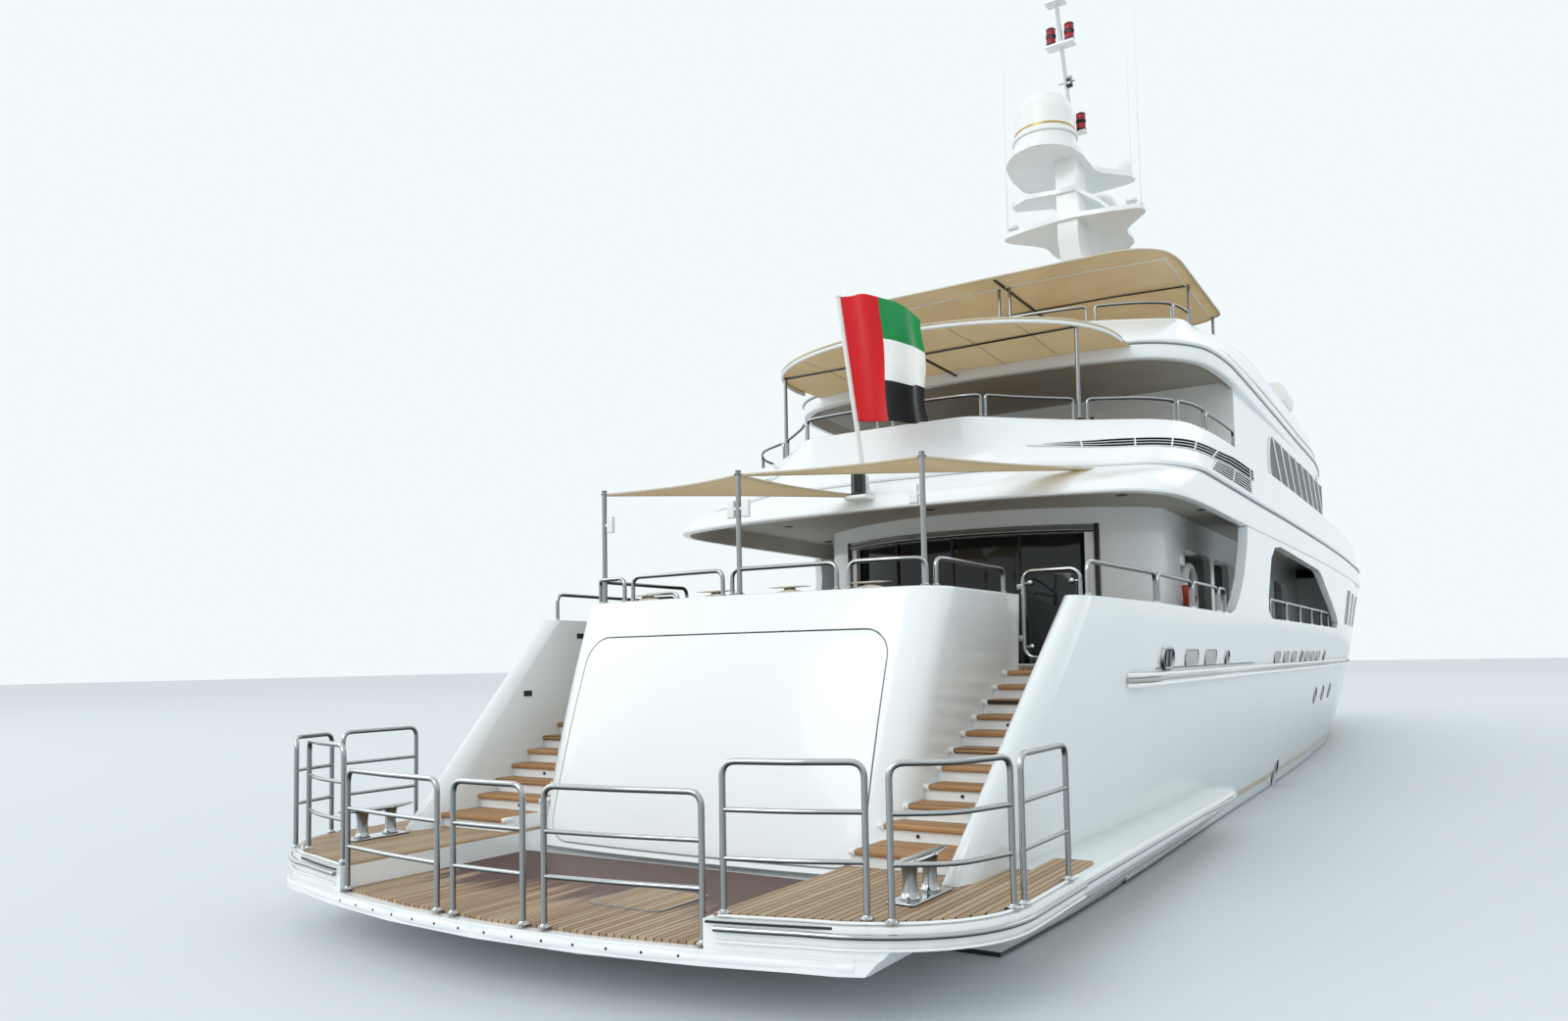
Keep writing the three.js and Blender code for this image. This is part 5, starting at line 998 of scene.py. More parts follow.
def build_transom(finish, sizes):
    """The stern's smooth skin with a round-cornered doorway, its rolled top edge, and its door."""
    def behind_skin(p):
        """Draws the CAD solid's skin 0.03 m in and its top down, so that only its inner parts show."""
        aft, flat, bend = transom_lines(p[:, 2])
        run = np.abs(p[:, 1])
        aside = np.where(p[:, 0] < bend, TRANSOM_CORNER - np.hypot(p[:, 0] - bend, run - flat),
                         flat + TRANSOM_CORNER - run)
        depth = np.where(run <= flat, p[:, 0] - aft - TRANSOM_CURVE * p[:, 1] ** 2, aside)
        lining = (depth > 0.2) & (depth < 0.27) & (p[:, 2] > 2.5)
        shift = np.where(depth < 0.05, 0.05, np.where(lining, 0.19, depth)) - depth
        radial = unit(np.stack([p[:, 0] - bend, run - flat], -1))
        corner = (run > flat) & (p[:, 0] < bend)
        p = p.copy()
        p[:, 0] += np.where(corner, -shift * radial[:, 0], np.where(run <= flat, shift, 0))
        side = np.where(corner, -shift * radial[:, 1], np.where(run > flat, -shift, 0))
        p[:, 1] += np.sign(p[:, 1]) * side
        p[:, 2] = np.minimum(p[:, 2], 3.31)
        return p

    node_copy("transom", "transom_core", finish.lining, behind_skin)
    low, high, wide = LOW_TEAK + 0.03, 3.325, 2.3
    middle = np.array([0, 1.78])
    corners = np.array([(wide, low), (wide, high), (-wide, high), (-wide, low)])
    t = np.linspace(0, 1, 81)[:-1, None]
    outer = np.concatenate([corners[k] * (1 - t) + corners[(k + 1) % 4] * t for k in range(4)])
    inner = rounded_reach(outer - middle, 2.008, 1.148, 0.3) + middle
    rows = [transom_place(*inner.T, off) for off in (0.12, 0.02, 0.006, 0.0)]
    rows += [transom_place(*between(inner, outer, k).T) for k in (0.02, 0.1, 0.25, 0.45, 0.65, 0.85, 1.0)]
    shape = Shape().grid(np.stack(rows), wrap_v=True)
    z = np.linspace(low, high, 32)[:, None]
    for sign in (-1, 1):
        shape.grid(transom_place(sign * (wide + (transom_run(z) - wide) * np.linspace(0, 1, 60)[None]), z))
        tall = np.linspace(MAIN_DECK + 0.02, TRANSOM_TOP - 0.004, 6)[:, None]
        shape.grid(transom_place(sign * transom_run(tall), tall, np.linspace(0, 0.24, 4)[None]))
    roll = np.array([(3.325, 0.0), (3.338, 0.004), (3.346, 0.012), (3.35, 0.026), (3.35, 0.214),
                     (3.346, 0.228), (3.338, 0.236), (3.325, 0.24), (2.9, 0.24), (2.47, 0.24)])
    height, depth = roll.T[:, None]
    shape.grid(transom_place(np.linspace(-1, 1, 220)[:, None] * transom_run(height), height, depth))
    shape.make("transom_skin", finish.paint, "white_paint", stands_for=["transom"], sharp=50)
    outline = rounded_reach(outer - middle, 1.99, 1.13, 0.285) + middle
    rows = [transom_place(*between(middle, outline, k).T) for k in (0.03, 0.35, 0.7, 0.9, 0.99)]
    rows += [transom_place(*outline.T, off) for off in (0.004, 0.012, 0.05, 0.1)]
    rows += [transom_place(*between(middle, outline, k).T, 0.1) for k in (0.95, 0.5, 0.03)]
    door = Shape().grid(np.stack(rows), wrap_v=True, caps=True)
    door.make("transom_door_skin", finish.paint, "white_paint", body="transom_door",
              stands_for=["transom_door"], sharp=50)


def platform_edge(offset):
    """The platform's edge from above, port side: a parabola aft, a quadratic corner, then straight."""
    y = np.linspace(0, 2.8, 24)
    aft = np.stack([platform_aft(-0.37 - offset, y), y], -1)
    half = 4.1 + offset
    t = np.linspace(0, 1, 20)[:, None]
    bend = ((1 - t) ** 2 * np.array([0.1 - offset, 3.1]) + 2 * t * (1 - t) * np.array([0.45 - offset, half])
            + t**2 * np.array([1.35, half]))
    side = np.stack([np.linspace(1.6, 2.55, 8), np.full(8, half)], -1)
    return np.concatenate([aft, bend, side])


def step_edge(offset, z):
    """The part of the platform's edge beside the raised step, at a height."""
    edge = platform_edge(offset)
    return raised(edge[edge[:, 1] > 2.12], z)


def build_platform(finish, sizes):
    """Edge trims of the platform: half-round lip, polished strakes, a black strip and discs painting the
    shade in the step's slot and the drains, and the hatch.
    """
    lip = Shape().tube(raised(platform_edge(-0.012)[:26], 0.485), 0.054, 16, ref=UP).mirror()
    lip.make("platform_lip", finish.paint, "white_paint", sharp=60)
    steel = Shape().tube(step_edge(-0.012, 0.69), 0.022, 10, ref=UP)
    fairing = [(2.5, 4.065, 0.69), (4, 4.072, 0.685), (7, 4.072, 0.67), (9.6, 4.052, 0.64),
               (10.5, 3.885, 0.6)]
    steel.tube(curve_through(fairing, 50), 0.02, 10, ref=UP)
    steel.mirror().make("platform_strakes", finish.steel, "steel", sharp=60)
    thin = Shape().tube(step_edge(-0.018, 0.6), 0.012, 8, ref=UP)
    thin.tube(step_edge(-0.075, 0.772), 0.018, 8, ref=UP, flat=0.6)
    thin.mirror().make("platform_edge_beads", finish.paint, "white_paint", sharp=60)
    # The step's slot and the drain holes get a black strip and black discs: painted shade inside them
    y = np.linspace(2.13, 3.1, 14)
    slot = np.stack([platform_aft(-0.352, y) - 0.012, y], -1)
    dark = Shape().grid(np.stack([raised(slot, 0.728), raised(slot, 0.748)]))
    for y in np.linspace(0.15, 1.95, 7):
        dark.turned(disc(0.011, 0.006), platform_aft(-0.37, y) - 0.044, y, 0.49, 12, axis=0)
    dark.mirror().make("platform_slot_and_drains", finish.black, "white_paint", sharp=60, closed=False)
    hatch = Shape()
    hatch.slab(rounded_box(0.55, 1.3, -1.15, -0.35, 0.08), LOW_TEAK - 0.002, LOW_TEAK + 0.006, 0.003)
    hatch.make("platform_hatch_rim", finish.dull_steel, "steel")
    cover = Shape().slab(rounded_box(0.575, 1.275, -1.125, -0.375, 0.06), LOW_TEAK, LOW_TEAK + 0.008, 0.003)
    cover.make("platform_hatch_lid", finish.teak, "teak")


def build_bitts(finish, sizes):
    """Twin bitts: waisted cones on a base plate under one pair of drawn-out horns."""
    post = [(0.0, 0.0), (0.085, 0.0), (0.085, 0.012), (0.07, 0.02), (0.06, 0.06), (0.056, 0.16),
            (0.064, 0.24), (0.075, 0.28), (0.06, 0.3), (0.0, 0.3)]
    for side, sign in SIDES:
        shape = Shape().block(0.8, 1.5, 3.12 * sign, 3.36 * sign, STEP_TEAK + 0.001, STEP_TEAK + 0.02, 0.008)
        for x in (0.97, 1.33):
            shape.turned(post, x, 3.24 * sign, STEP_TEAK + 0.02, 24)
        x = np.linspace(0.67, 1.63, 40)
        t = (x - 0.67) / 0.96
        swell = 0.012 + 0.055 * np.sin(math.pi * t) ** 0.6
        horns = np.stack([x, np.full(40, 3.24 * sign), STEP_TEAK + 0.3 + 0.02 * (2 * t - 1) ** 2], -1)
        shape.tube(horns, swell, 14, ref=UP, flat=0.4)
        shape.make(f"bitts_{side}_horned", finish.steel, "steel", stands_for=[f"bitts_{side}"], sharp=50)


def build_stairs(finish, sizes):
    """Teak treads with round noses on the CAD steps, white corner caps, lamps in risers and side walls."""
    steps = 11
    riser = (MAIN_DECK - STEP_TEAK) / steps
    for side, sign in SIDES:
        wood, caps, lamps = Shape(), Shape(), Shape()
        for k in range(steps):
            nose = 1.98 if k == 0 else 2.55 + (k - 1) * 0.3
            back = (2.55 if k == 0 else nose + 0.3) + 0.02
            top = STEP_TEAK + (k + 1) * riser
            _, flat, bend = transom_lines(top)
            inside = 0
            if nose > bend - TRANSOM_CORNER:
                inside = flat + math.sqrt(max(TRANSOM_CORNER**2 - max(bend - nose, 0) ** 2, 0))
            y0 = max(2.2, inside + 0.04)
            y1 = float(hull_half(nose, top)) - 0.24
            wood.block(nose - 0.012, back, sign * y0, sign * y1, top - 0.052, top + 0.006, 0.022)
            caps.block(nose - 0.01, nose + 0.14, sign * (y0 - 0.06), sign * (y0 + 0.004), top - 0.05,
                       top + 0.004, 0.02)
            if k % 2 == 1:
                lamps.turned(disc(0.018, 0.012), nose + 0.02, sign * (y0 + 0.35), top - 0.1, 14, axis=0)
        for x, z in ((3.5, 2.25), (4.6, 3.0)):
            y = sign * (float(hull_half(x, z)) - 0.262)
            lamps.block(x - 0.07, x + 0.07, y, y - sign * 0.012, z - 0.035, z + 0.035, 0.005)
        wood.make(f"stair_treads_{side}", finish.tread, "teak", sharp=60)
        caps.make(f"stair_caps_{side}", finish.paint, "white_paint", sharp=60)
        lamps.make(f"stair_lamps_{side}", finish.black, "white_paint", sharp=60)


def build_gates(finish, sizes):
    """Boarding gates: a bent tube frame, a dark pane on four round clamps, and two hinge blocks."""
    for side, sign in SIDES:
        body, x = f"gate_{side}", 5.6
        outline = rounded_box(2.53, 3.2, 2.6, 3.6, 0.12, 8)
        around = np.column_stack([np.full(len(outline), x), sign * outline[:, 0], outline[:, 1]])
        frame_tube = Shape().tube(around, 0.024, 14, closed=True, ref=AHEAD)
        clamp = [(0.0, -0.03), (0.03, -0.03), (0.034, -0.024), (0.034, 0.0), (0.0, 0.0)]
        for y, out in ((2.62, 2.54), (3.11, 3.19)):
            for z in (2.72, 3.46):
                frame_tube.turned(clamp, x, sign * y, z, 16, axis=0)
                stalk = [(x, sign * way, z) for way in (y, 0.5 * y + 0.5 * out, out)]
                frame_tube.tube(stalk, 0.012, 8, ref=AHEAD)
        for z in (2.82, 3.42):
            frame_tube.block(x - 0.02, x + 0.02, sign * 2.456, sign * 2.53, z - 0.035, z + 0.035, 0.008)
        frame_tube.make(f"gate_{side}_frame", finish.steel, "dark_glass", body=body, stands_for=[body],
                        sharp=60)
        pane = Shape().slab(rounded_box(2.575, 3.155, 2.645, 3.555, 0.09, 8), -0.008, 0.008, 0.003,
                            place=lambda p: np.stack([x + p[..., 2], sign * p[..., 0], p[..., 1]], -1))
        pane.make(f"gate_{side}_pane", finish.glass, "dark_glass", body=body, stands_for=[body])


def on_side(x, z, out=0.0):
    """A point on the starboard plating at a distance and height, moved outward."""
    x, z, out = np.broadcast_arrays(np.asarray(x, float), z, out)
    return np.stack([x, -(hull_half(x, z) + out), z], -1)


def side_port(plates, rims, outline, proud, out, radius):
    """A plate bent onto the starboard plating, proud of it, with a round rim along its outline."""
    plates.slab(outline, -0.01, proud, 0.006, place=lambda p: on_side(p[..., 0], p[..., 1], p[..., 2]))
    rims.tube(on_side(outline[:, 0], outline[:, 1], out), radius, 8, closed=True, ref=ACROSS)


def build_hull_fittings(finish, sizes):
    """Rub rail, fairlead, freeing ports, portholes and outlet, bent onto the plating on both sides."""
    x = np.linspace(5.42, 31.4, 140)
    end = np.clip(np.minimum(x - 5.42, 31.4 - x) / 0.2, 0, 1) ** 0.5
    beads = Shape()
    for z, size, out in ((2.382, 0.024, 0.086), (2.27, 0.028, 0.09)):
        beads.tube(on_side(x, z, out * end), size, 12, ref=UP)
    beads.mirror().make("rub_rail_beads", finish.paint, "white_paint", sharp=60)
    # The grey band between the beads is painted shade in the groove between them
    band = Shape().tube(on_side(x, 2.328, 0.086 * end), 0.024, 12, ref=UP).mirror()
    band.make("rub_rail_band", finish.shade, "white_paint", sharp=60)
    x = np.linspace(6.5, 13, 30)
    line = Shape().tube(on_side(x, 2.445, 0.004), 0.01, 8, ref=UP).mirror()
    line.make("rub_rail_shadow_line", finish.shadow_paint, "white_paint", sharp=60)
    plates, rims, dark = Shape(), Shape(), Shape()
    for x0, z0 in ((8.35, 2.56), (9.55, 2.56), (15.29, 2.52), (16.35, 2.52), (17.4, 2.52), (19.34, 2.52),
                   (20.25, 2.52), (21.22, 2.52)):
        wide = 0.38 if x0 < 14 else 0.3
        outline = rounded_box(x0 - wide, x0 + wide, z0 - 0.105, z0 + 0.105, 0.07, 6)
        side_port(plates, rims, outline, 0.006, 0.004, 0.01)
    # The lowest of these, near the waterline, is the outlet: a hole whose dark pane is painted shade inside
    # it
    for x0, z0, wide, high in ((10.75, 2.55, 0.15, 0.1), (18.47, 2.52, 0.16, 0.12), (22.5, 2.52, 0.16, 0.12),
                               (21.6, 1.6, 0.2, 0.19), (23.3, 1.6, 0.2, 0.19), (25.1, 1.6, 0.2, 0.19),
                               (16.8, 0.26, 0.3, 0.24)):
        outline = rounded_box(x0 - wide, x0 + wide, z0 - high, z0 + high, 0.95 * high, 8)
        side_port(dark, rims, outline, 0.008, 0.006, 0.012)
    side_port(dark, rims, rounded_box(6.72, 7.24, 2.44, 2.68, 0.115, 8), 0.008, 0.016, 0.026)
    for dx in (-0.09, 0.09):
        rims.tube(on_side(np.full(5, 6.98 + dx), np.linspace(2.47, 2.65, 5), 0.024), 0.022, 10, ref=AHEAD)
    plates.mirror().make("side_port_covers", finish.shade, "hull_paint", sharp=60)
    rims.mirror().make("side_port_rims", finish.steel, "steel", sharp=60)
    dark.mirror().make("side_port_panes", finish.glass, "dark_glass", sharp=60)


def build_plating(finish, sizes):
    """The hull's side up to the rub rail: a smooth skin just outside the plating's facets."""
    x, z = np.meshgrid(np.linspace(6.1, 43, 140), np.linspace(-1.2, 2.27, 40), indexing="ij")
    # The skin comes out through the plating over its first metre and a half, so that its edge leaves no step
    rise = np.clip((x - 6.1) / 1.5, 0, 1)
    skin = Shape().grid(on_side(x, z, -0.004 + 0.008 * rise * rise * (3 - 2 * rise)))
    skin.mirror().make("hull_side_skin", finish.hull, "hull_paint", closed=False, sharp=60)


def build_saloon_front(finish, sizes):
    """The saloon's curved front: a faceted bright header and brown frames; ceiling lamps and lifebuoys."""
    angle = np.linspace(-0.6, 0.6, 361)
    facet = 0.008 * np.abs(np.sin(angle * 22)) + 0.003 * np.sin(angle * 71)
    rows = []
    for z, out in ((4.5, 0.0), (4.5, 0.02), (4.535, 0.03), (4.57, 0.02), (4.6, 0.028), (4.62, 0.0)):
        radius = 3.712 + out + facet * (out > 0)
        x, y = SALOON_CENTRE - radius * np.cos(angle), radius * np.sin(angle)
        rows.append(np.stack([x, y, np.full(361, z)], -1))
    header = Shape().grid(np.stack(rows))
    header.make("saloon_header_bright", finish.steel, "steel", closed=False, sharp=80)
    brown = Shape()
    for turns, radius, aft, fore, half, high, edge in (
            ((-0.615, 0.615), 3.72, 0.03, 0.05, 0.035, 4.63, 0.012),
            ((-0.3, 0.0, 0.3), 3.575, 0.02, 0.02, 0.02, 4.5, 0.006)):
        for a in turns:
            x, y = SALOON_CENTRE - radius * math.cos(a), radius * math.sin(a)
            brown.block(x - aft, x + fore, y - half, y + half, MAIN_DECK + 0.03, high, edge)
    brown.make("saloon_frames_brown", finish.brown, "white_paint", sharp=60)
    lamps = Shape()
    lamp = [(0.0, 0.0), (0.07, 0.0), (0.08, 0.008), (0.08, 0.014), (0.0, 0.014)]
    for x, y in ((8.0, -1.5), (8.0, 1.5), (8.6, 0.0), (9.0, -2.8), (9.0, 2.8), (11.4, -3.4), (11.4, 3.4)):
        lamps.turned(lamp, x, y, UPPER_CEILING - 0.016, 18)
    lamps.make("aft_deck_ceiling_lamps", finish.dull_steel, "steel", sharp=60)
    t = np.linspace(0, 2 * math.pi, 61)[:-1]
    for name, sign in SIDES:
        around = np.stack([12.1 + 0.33 * np.cos(t), np.full(60, sign * 3.03), 3.72 + 0.33 * np.sin(t)], -1)
        buoy = Shape().tube(around, 0.055, 14, closed=True, ref=ACROSS)
        buoy.slots = np.repeat(np.where(np.sin(t + 0.3) < -0.25, 1, 0), 14).tolist()
        buoy.make(f"lifebuoy_{name}", [finish.plastic, finish.orange], "white_plastic", sharp=80)


def build_louvres(finish, sizes):
    """The bulwark's long slotted band and the side grille: near-black sheets, painted shade in their
    recesses, with thin white slats along them.
    """
    count = 240
    gutter, top = ring(with_side(GUTTER, 0.02), count), ring(with_side(UPPER_EDGE, 0.12), count)
    half = count // 2
    pick = [i for i in range(half) if gutter[i, 1] > 2.0 and gutter[i, 0] < 13.3]
    outward = plan_normals(gutter, closed=True)[pick] * (-1 if turns_left(gutter) else 1)
    x = gutter[pick, 0]
    rise = np.clip((x - 7.3) / 3.5, 0, 1) * 0.12
    fade = 0.065 * np.clip(1 - (gutter[pick, 1] - 2.0) / 1.1, 0, 1)
    band = 5.385 + rise + fade, 5.52 + rise * 1.3 - fade
    grille = np.full(len(pick), 5.215), band[0] - 0.035

    def along(levels, t, out):
        """The bulwark's face at a share of the height between two levels, moved outward."""
        z = between(*levels, t)
        k = ((z - WALL_FROM) / (WALL_TO - WALL_FROM))[:, None]
        return at_height(gutter[pick] + (top - gutter)[pick] * k + outward * (out - 0.07 * (1 - k)), z)

    dark, slats = Shape(), Shape()
    side = [j for j, i in enumerate(pick) if 9.5 < gutter[i, 0] < 13.1]
    for levels, part, lines, thick, posts in (
            (band, range(len(pick)), (0.0, 0.34, 0.67, 1.0), 0.006, range(0, len(pick), 7)),
            (grille, side, np.linspace(0, 1, 7), 0.008, (side[0], side[len(side) // 2], side[-1]))):
        dark.grid(np.stack([along(levels, t, 0.006)[part] for t in np.linspace(0, 1, 4)]))
        for t in lines:
            slats.tube(along(levels, t, 0.014)[part], thick, 8, ref=UP)
        for j in posts:
            slats.tube([along(levels, t, 0.012)[j] for t in (0.0, 0.5, 1.0)], 0.012, 8, ref=AHEAD)
    slats.tube(at_height(shifted(gutter, 0.012), 5.135)[:half + 1], 0.04, 10, ref=UP)
    line = Shape().tube(at_height(shifted(gutter, -0.004), 5.082)[:half + 1], 0.02, 8, ref=UP).mirror()
    line.make("gutter_shadow_line", finish.shadow_paint, "white_paint", sharp=60)
    dark.mirror().make("louvre_recess", finish.shade_behind_slats, "white_paint", closed=False, sharp=60)
    slats.mirror().make("louvre_slats", finish.paint, "white_paint", sharp=60)


def house_side(x, z, out):
    """A point on the starboard wall of the upper house at a distance and height, moved outward."""
    x, z, out = np.broadcast_arrays(np.asarray(x, float), z, out)
    return np.stack([x, -(hull_half(x, FASCIA_LOW) - 0.345 + out), z], -1)


def build_lounge_windows(finish, sizes):
    """The upper lounge's window band: flush dark glass with a round aft end behind raked white mullions."""
    low, high = 5.93, 6.88
    turn = np.linspace(math.pi / 2, -math.pi / 2, 16)
    aft = np.stack([16.6 - 0.42 * np.cos(turn), (low + high) / 2 + 0.475 * np.sin(turn)], -1)
    ends = np.stack([np.full(16, 24.6), aft[:, 1]], -1)
    flat = ruled(aft, ends, 12)
    glass = Shape().grid(house_side(flat[..., 0], flat[..., 1], 0.012))
    rim = np.concatenate([ends[:1], aft, ends[-1:]])
    white = Shape().tube(house_side(rim[:, 0], rim[:, 1], 0.012), 0.024, 8, ref=ACROSS)
    for k in range(8):
        foot = 17.75 + 0.98 * k
        z = np.linspace(low - 0.01, high + 0.01, 5)
        white.tube(house_side(foot - 1.1 * (z - low), z, 0.014), 0.034, 8, ref=ACROSS, flat=0.5)
    glass.mirror().make("lounge_window_band", finish.grey_glass, "dark_glass", closed=False, sharp=60)
    white.mirror().make("lounge_mullions", finish.paint, "white_paint", sharp=60)


def build_mast_gear(finish, sizes):
    """Dome skins with gold bands; lamps, aerials, camera and horns on the mast's plates."""
    gold, skins = Shape(), Shape()
    for x, y, z, radius, foot, wall in ((15.82, 0.36, 13.401, 0.634, 0.32, 0.42),
                                        (18.58, -0.02, 12.651, 0.4, 0.1, 0.3)):
        angle = np.linspace(0, math.pi / 2, 14)
        cap = np.stack([radius * np.cos(angle), foot + wall + 0.95 * radius * np.sin(angle)], -1)
        drum = [(0.0, 0.0), (radius * 1.03, 0.0), (radius * 1.03, foot * 0.76), (radius, foot * 0.77),
                (radius, foot * 0.82), (radius * 1.07, foot * 0.83), (radius * 1.09, foot * 0.85),
                (radius * 1.09, foot), (radius * 1.07, foot + 0.012), (radius * 1.01, foot + 0.02),
                (radius, foot + 0.04)]
        skins.turned(np.concatenate([drum, cap[:-1], [(0.0, cap[-1, 1])]]), x, y, z, 64)
        stripe = [(radius - 0.02, -0.02), (radius + 0.006, -0.018), (radius + 0.006, 0.018),
                  (radius - 0.02, 0.02)]
        gold.turned(stripe, x, y, z + foot + 0.11, 64)
    skins.make("dome_skins", finish.plastic, "white_plastic", sharp=50,
               stands_for=["satcom_dome_port", "satcom_dome_starboard"])
    gold.make("dome_bands_gold", finish.gold, "white_plastic", sharp=60)
    white, dark, red, steel = Shape(), Shape(), Shape(), Shape()
    globe = [(0.0, 0.0), (0.14, 0.0), (0.15, 0.02), (0.16, 0.12), (0.14, 0.2), (0.09, 0.27), (0.0, 0.3)]
    white.turned(globe, 17.72, -0.82, 13.4, 24)
    lamp = [(0.0, 0.0), (0.08, 0.0), (0.085, 0.02), (0.085, 0.05), (0.0, 0.05)]
    lens = [(0.0, 0.05), (0.074, 0.05), (0.078, 0.08), (0.078, 0.22), (0.07, 0.25), (0.0, 0.25)]
    cap = [(0.0, 0.25), (0.08, 0.25), (0.08, 0.27), (0.05, 0.31), (0.0, 0.32)]
    for x, y, z in ((15.98, 0.2, 15.84), (15.98, -0.2, 15.84), (15.7, -0.12, 16.66), (16.45, -0.25, 14.02)):
        for k in (0, 1):
            for shape, profile in ((dark, lamp), (red, lens), (dark, cap)):
                shape.turned(np.array(profile) * (1.3, 0.66), x, y, z + 0.2 * k, 20)
    white.block(16.36, 16.56, -0.36, -0.12, 13.98, 14.02, 0.012)
    white.tube([(16.66, 0, 14.0), (16.56, -0.1, 14.0), (16.48, -0.2, 14.0)], 0.03, 8, ref=UP)
    steel.block(16.16, 16.32, -0.16, -0.02, 14.98, 15.2, 0.03)
    steel.tube([(16.3, 0.16, 15.12), (16.3, 0, 15.12), (16.3, -0.2, 15.12)], 0.012, 8, ref=UP)
    dark.turned([(0.0, 0.0), (0.04, 0.0), (0.045, 0.01), (0.0, 0.02)], 16.14, -0.09, 15.1, 16, axis=0)
    receiver = [(0.0, 0.0), (0.03, 0.0), (0.03, 0.07), (0.12, 0.08), (0.125, 0.13), (0.11, 0.15),
                (0.0, 0.155)]
    for y in (1.3, -1.3):
        white.turned(receiver, 16.3, y, 12.05, 24)
    for x, y, z0, z1 in ((16.4, 1.47, 12.05, 15.9), (16.4, -1.47, 12.05, 16.9), (17.85, -0.93, 13.4, 16.2)):
        z = np.linspace(z0, z1, 12)
        width = np.interp(z, [z0, z0 + 0.25, z0 + 0.3, z1], [0.03, 0.03, 0.014, 0.008])
        white.tube(np.stack([np.full(12, x), np.full(12, y), z], -1), width, 8, ref=AHEAD)
        steel.turned([(0.0, 0.0), (0.05, 0.0), (0.05, 0.02), (0.035, 0.05), (0.0, 0.05)], x, y, z0, 14)
    horn = [(0.0, -0.3), (0.03, -0.3), (0.03, 0.0), (0.05, 0.08), (0.1, 0.13), (0.11, 0.14), (0.0, 0.1)]
    for y in (-0.75, -0.55):
        steel.turned([(r, -h) for r, h in horn[::-1]], 17.4, y, 12.3, 20, axis=0)
    white.make("mast_aerials_and_globes", finish.plastic, "white_plastic", sharp=50)
    dark.make("mast_lamp_bodies", finish.black, "white_plastic", sharp=50)
    red.make("mast_lamp_lenses", finish.red_lens, "white_plastic", sharp=50)
    steel.make("mast_horns_and_feet", finish.steel, "steel", sharp=50)


def build_awning_gear(finish, sizes):
    """Brown battens under the awnings, the caged stern lamp, and the white ensign staff on its bracket."""
    brown = Shape()
    z = AWNING_TOP - 0.09
    brown.tube([(x, 0, z) for x in (7.3, 8.3, 9.8)], 0.022, 10, ref=UP)
    brown.tube([(11.62, 0, 9.35), (13, 0, 9.355), (14.4, 0, 9.35), (15.9, 0, 9.35)], 0.03, 10, ref=UP)
    brown.make("awning_battens_brown", finish.brown, "steel", sharp=60)
    lamp = Shape()
    lamp.turned([(0.0, 0.0), (0.1, 0.0), (0.1, 0.03), (0.07, 0.04), (0.07, 0.3), (0.1, 0.31), (0.1, 0.34),
                 (0.04, 0.4), (0.0, 0.4)], 6.32, 0, 4.825, 24)
    for a in np.linspace(0, 2 * math.pi, 9)[:-1]:
        x, y = 6.32 + 0.092 * math.cos(a), 0.092 * math.sin(a)
        lamp.tube([(x, y, 4.84), (x, y, 4.98), (x, y, 5.14)], 0.009, 6, ref=AHEAD)
    lamp.make("stern_lamp_caged", finish.black, "steel", sharp=50)
    staff = Shape().tube([(6.6, 0, 4.7), (6.23, 0, 6.085), (5.87, 0, 7.43)], 0.034, 16, ref=ACROSS)
    finial = [(0.0, -0.01), (0.034, -0.01), (0.04, 0.0), (0.04, 0.02), (0.02, 0.035), (0.0, 0.035)]
    staff.turned(finial, 5.865, 0, 7.43, 16)
    staff.tube([(6.6, 0, 4.75), (6.55, 0, 4.94), (6.5, 0, 5.12)], 0.055, 16, ref=ACROSS)
    staff.block(6.2, 6.72, -0.17, 0.17, 4.76, 4.82, 0.02)
    staff.make("ensign_staff_white", finish.plastic, "steel", stands_for=["ensign_staff"], sharp=50)


def build_stage():
    """A pale floor at the waterline, a bright even sky, and three soft lights."""
    world = bpy.data.worlds.new("overcast")
    world.use_nodes = True
    world.node_tree.nodes["Background"].inputs[0].default_value = linear("#F3FAFC")
    world.node_tree.nodes["Background"].inputs[1].default_value = 1.0
    bpy.context.scene.world = world
    # The plain display curve keeps the paint as white as it is beside a bright sky
    bpy.context.scene.view_settings.view_transform = "Standard"
    floor = Shape().slab(rounded_box(-300, 340, -320, 320, 60, 8), -0.6, 0.0, 0.2)
    mesh = bpy.data.meshes.new("floor")
    mesh.from_pydata(model(np.concatenate(floor.points)).tolist(), [], floor.faces)
    material, tree, bsdf = new_material("pale_floor", Roughness=0.55)
    tree.links.new(tint(tree, object_noise(tree, 0.05), "#D9DEE1", "#D2D8DC"), bsdf.inputs["Base Color"])
    mesh.materials.append(material)
    linked("floor", mesh)
    for name, place, size, power in (("key", (-44, 6, 26), 26, 4500), ("fill", (-20, 34, 22), 26, 1500),
                                     ("front", (40, -20, 34), 30, 1500)):
        light = bpy.data.lights.new(name, "AREA")
        light.shape = "DISK"
        light.size = size
        light.energy = power
        lamp = linked(name, light)
        lamp.location = place
        lamp.rotation_euler = (Vector((-4, 0, 2)) - Vector(place)).to_track_quat("-Z", "Y").to_euler()


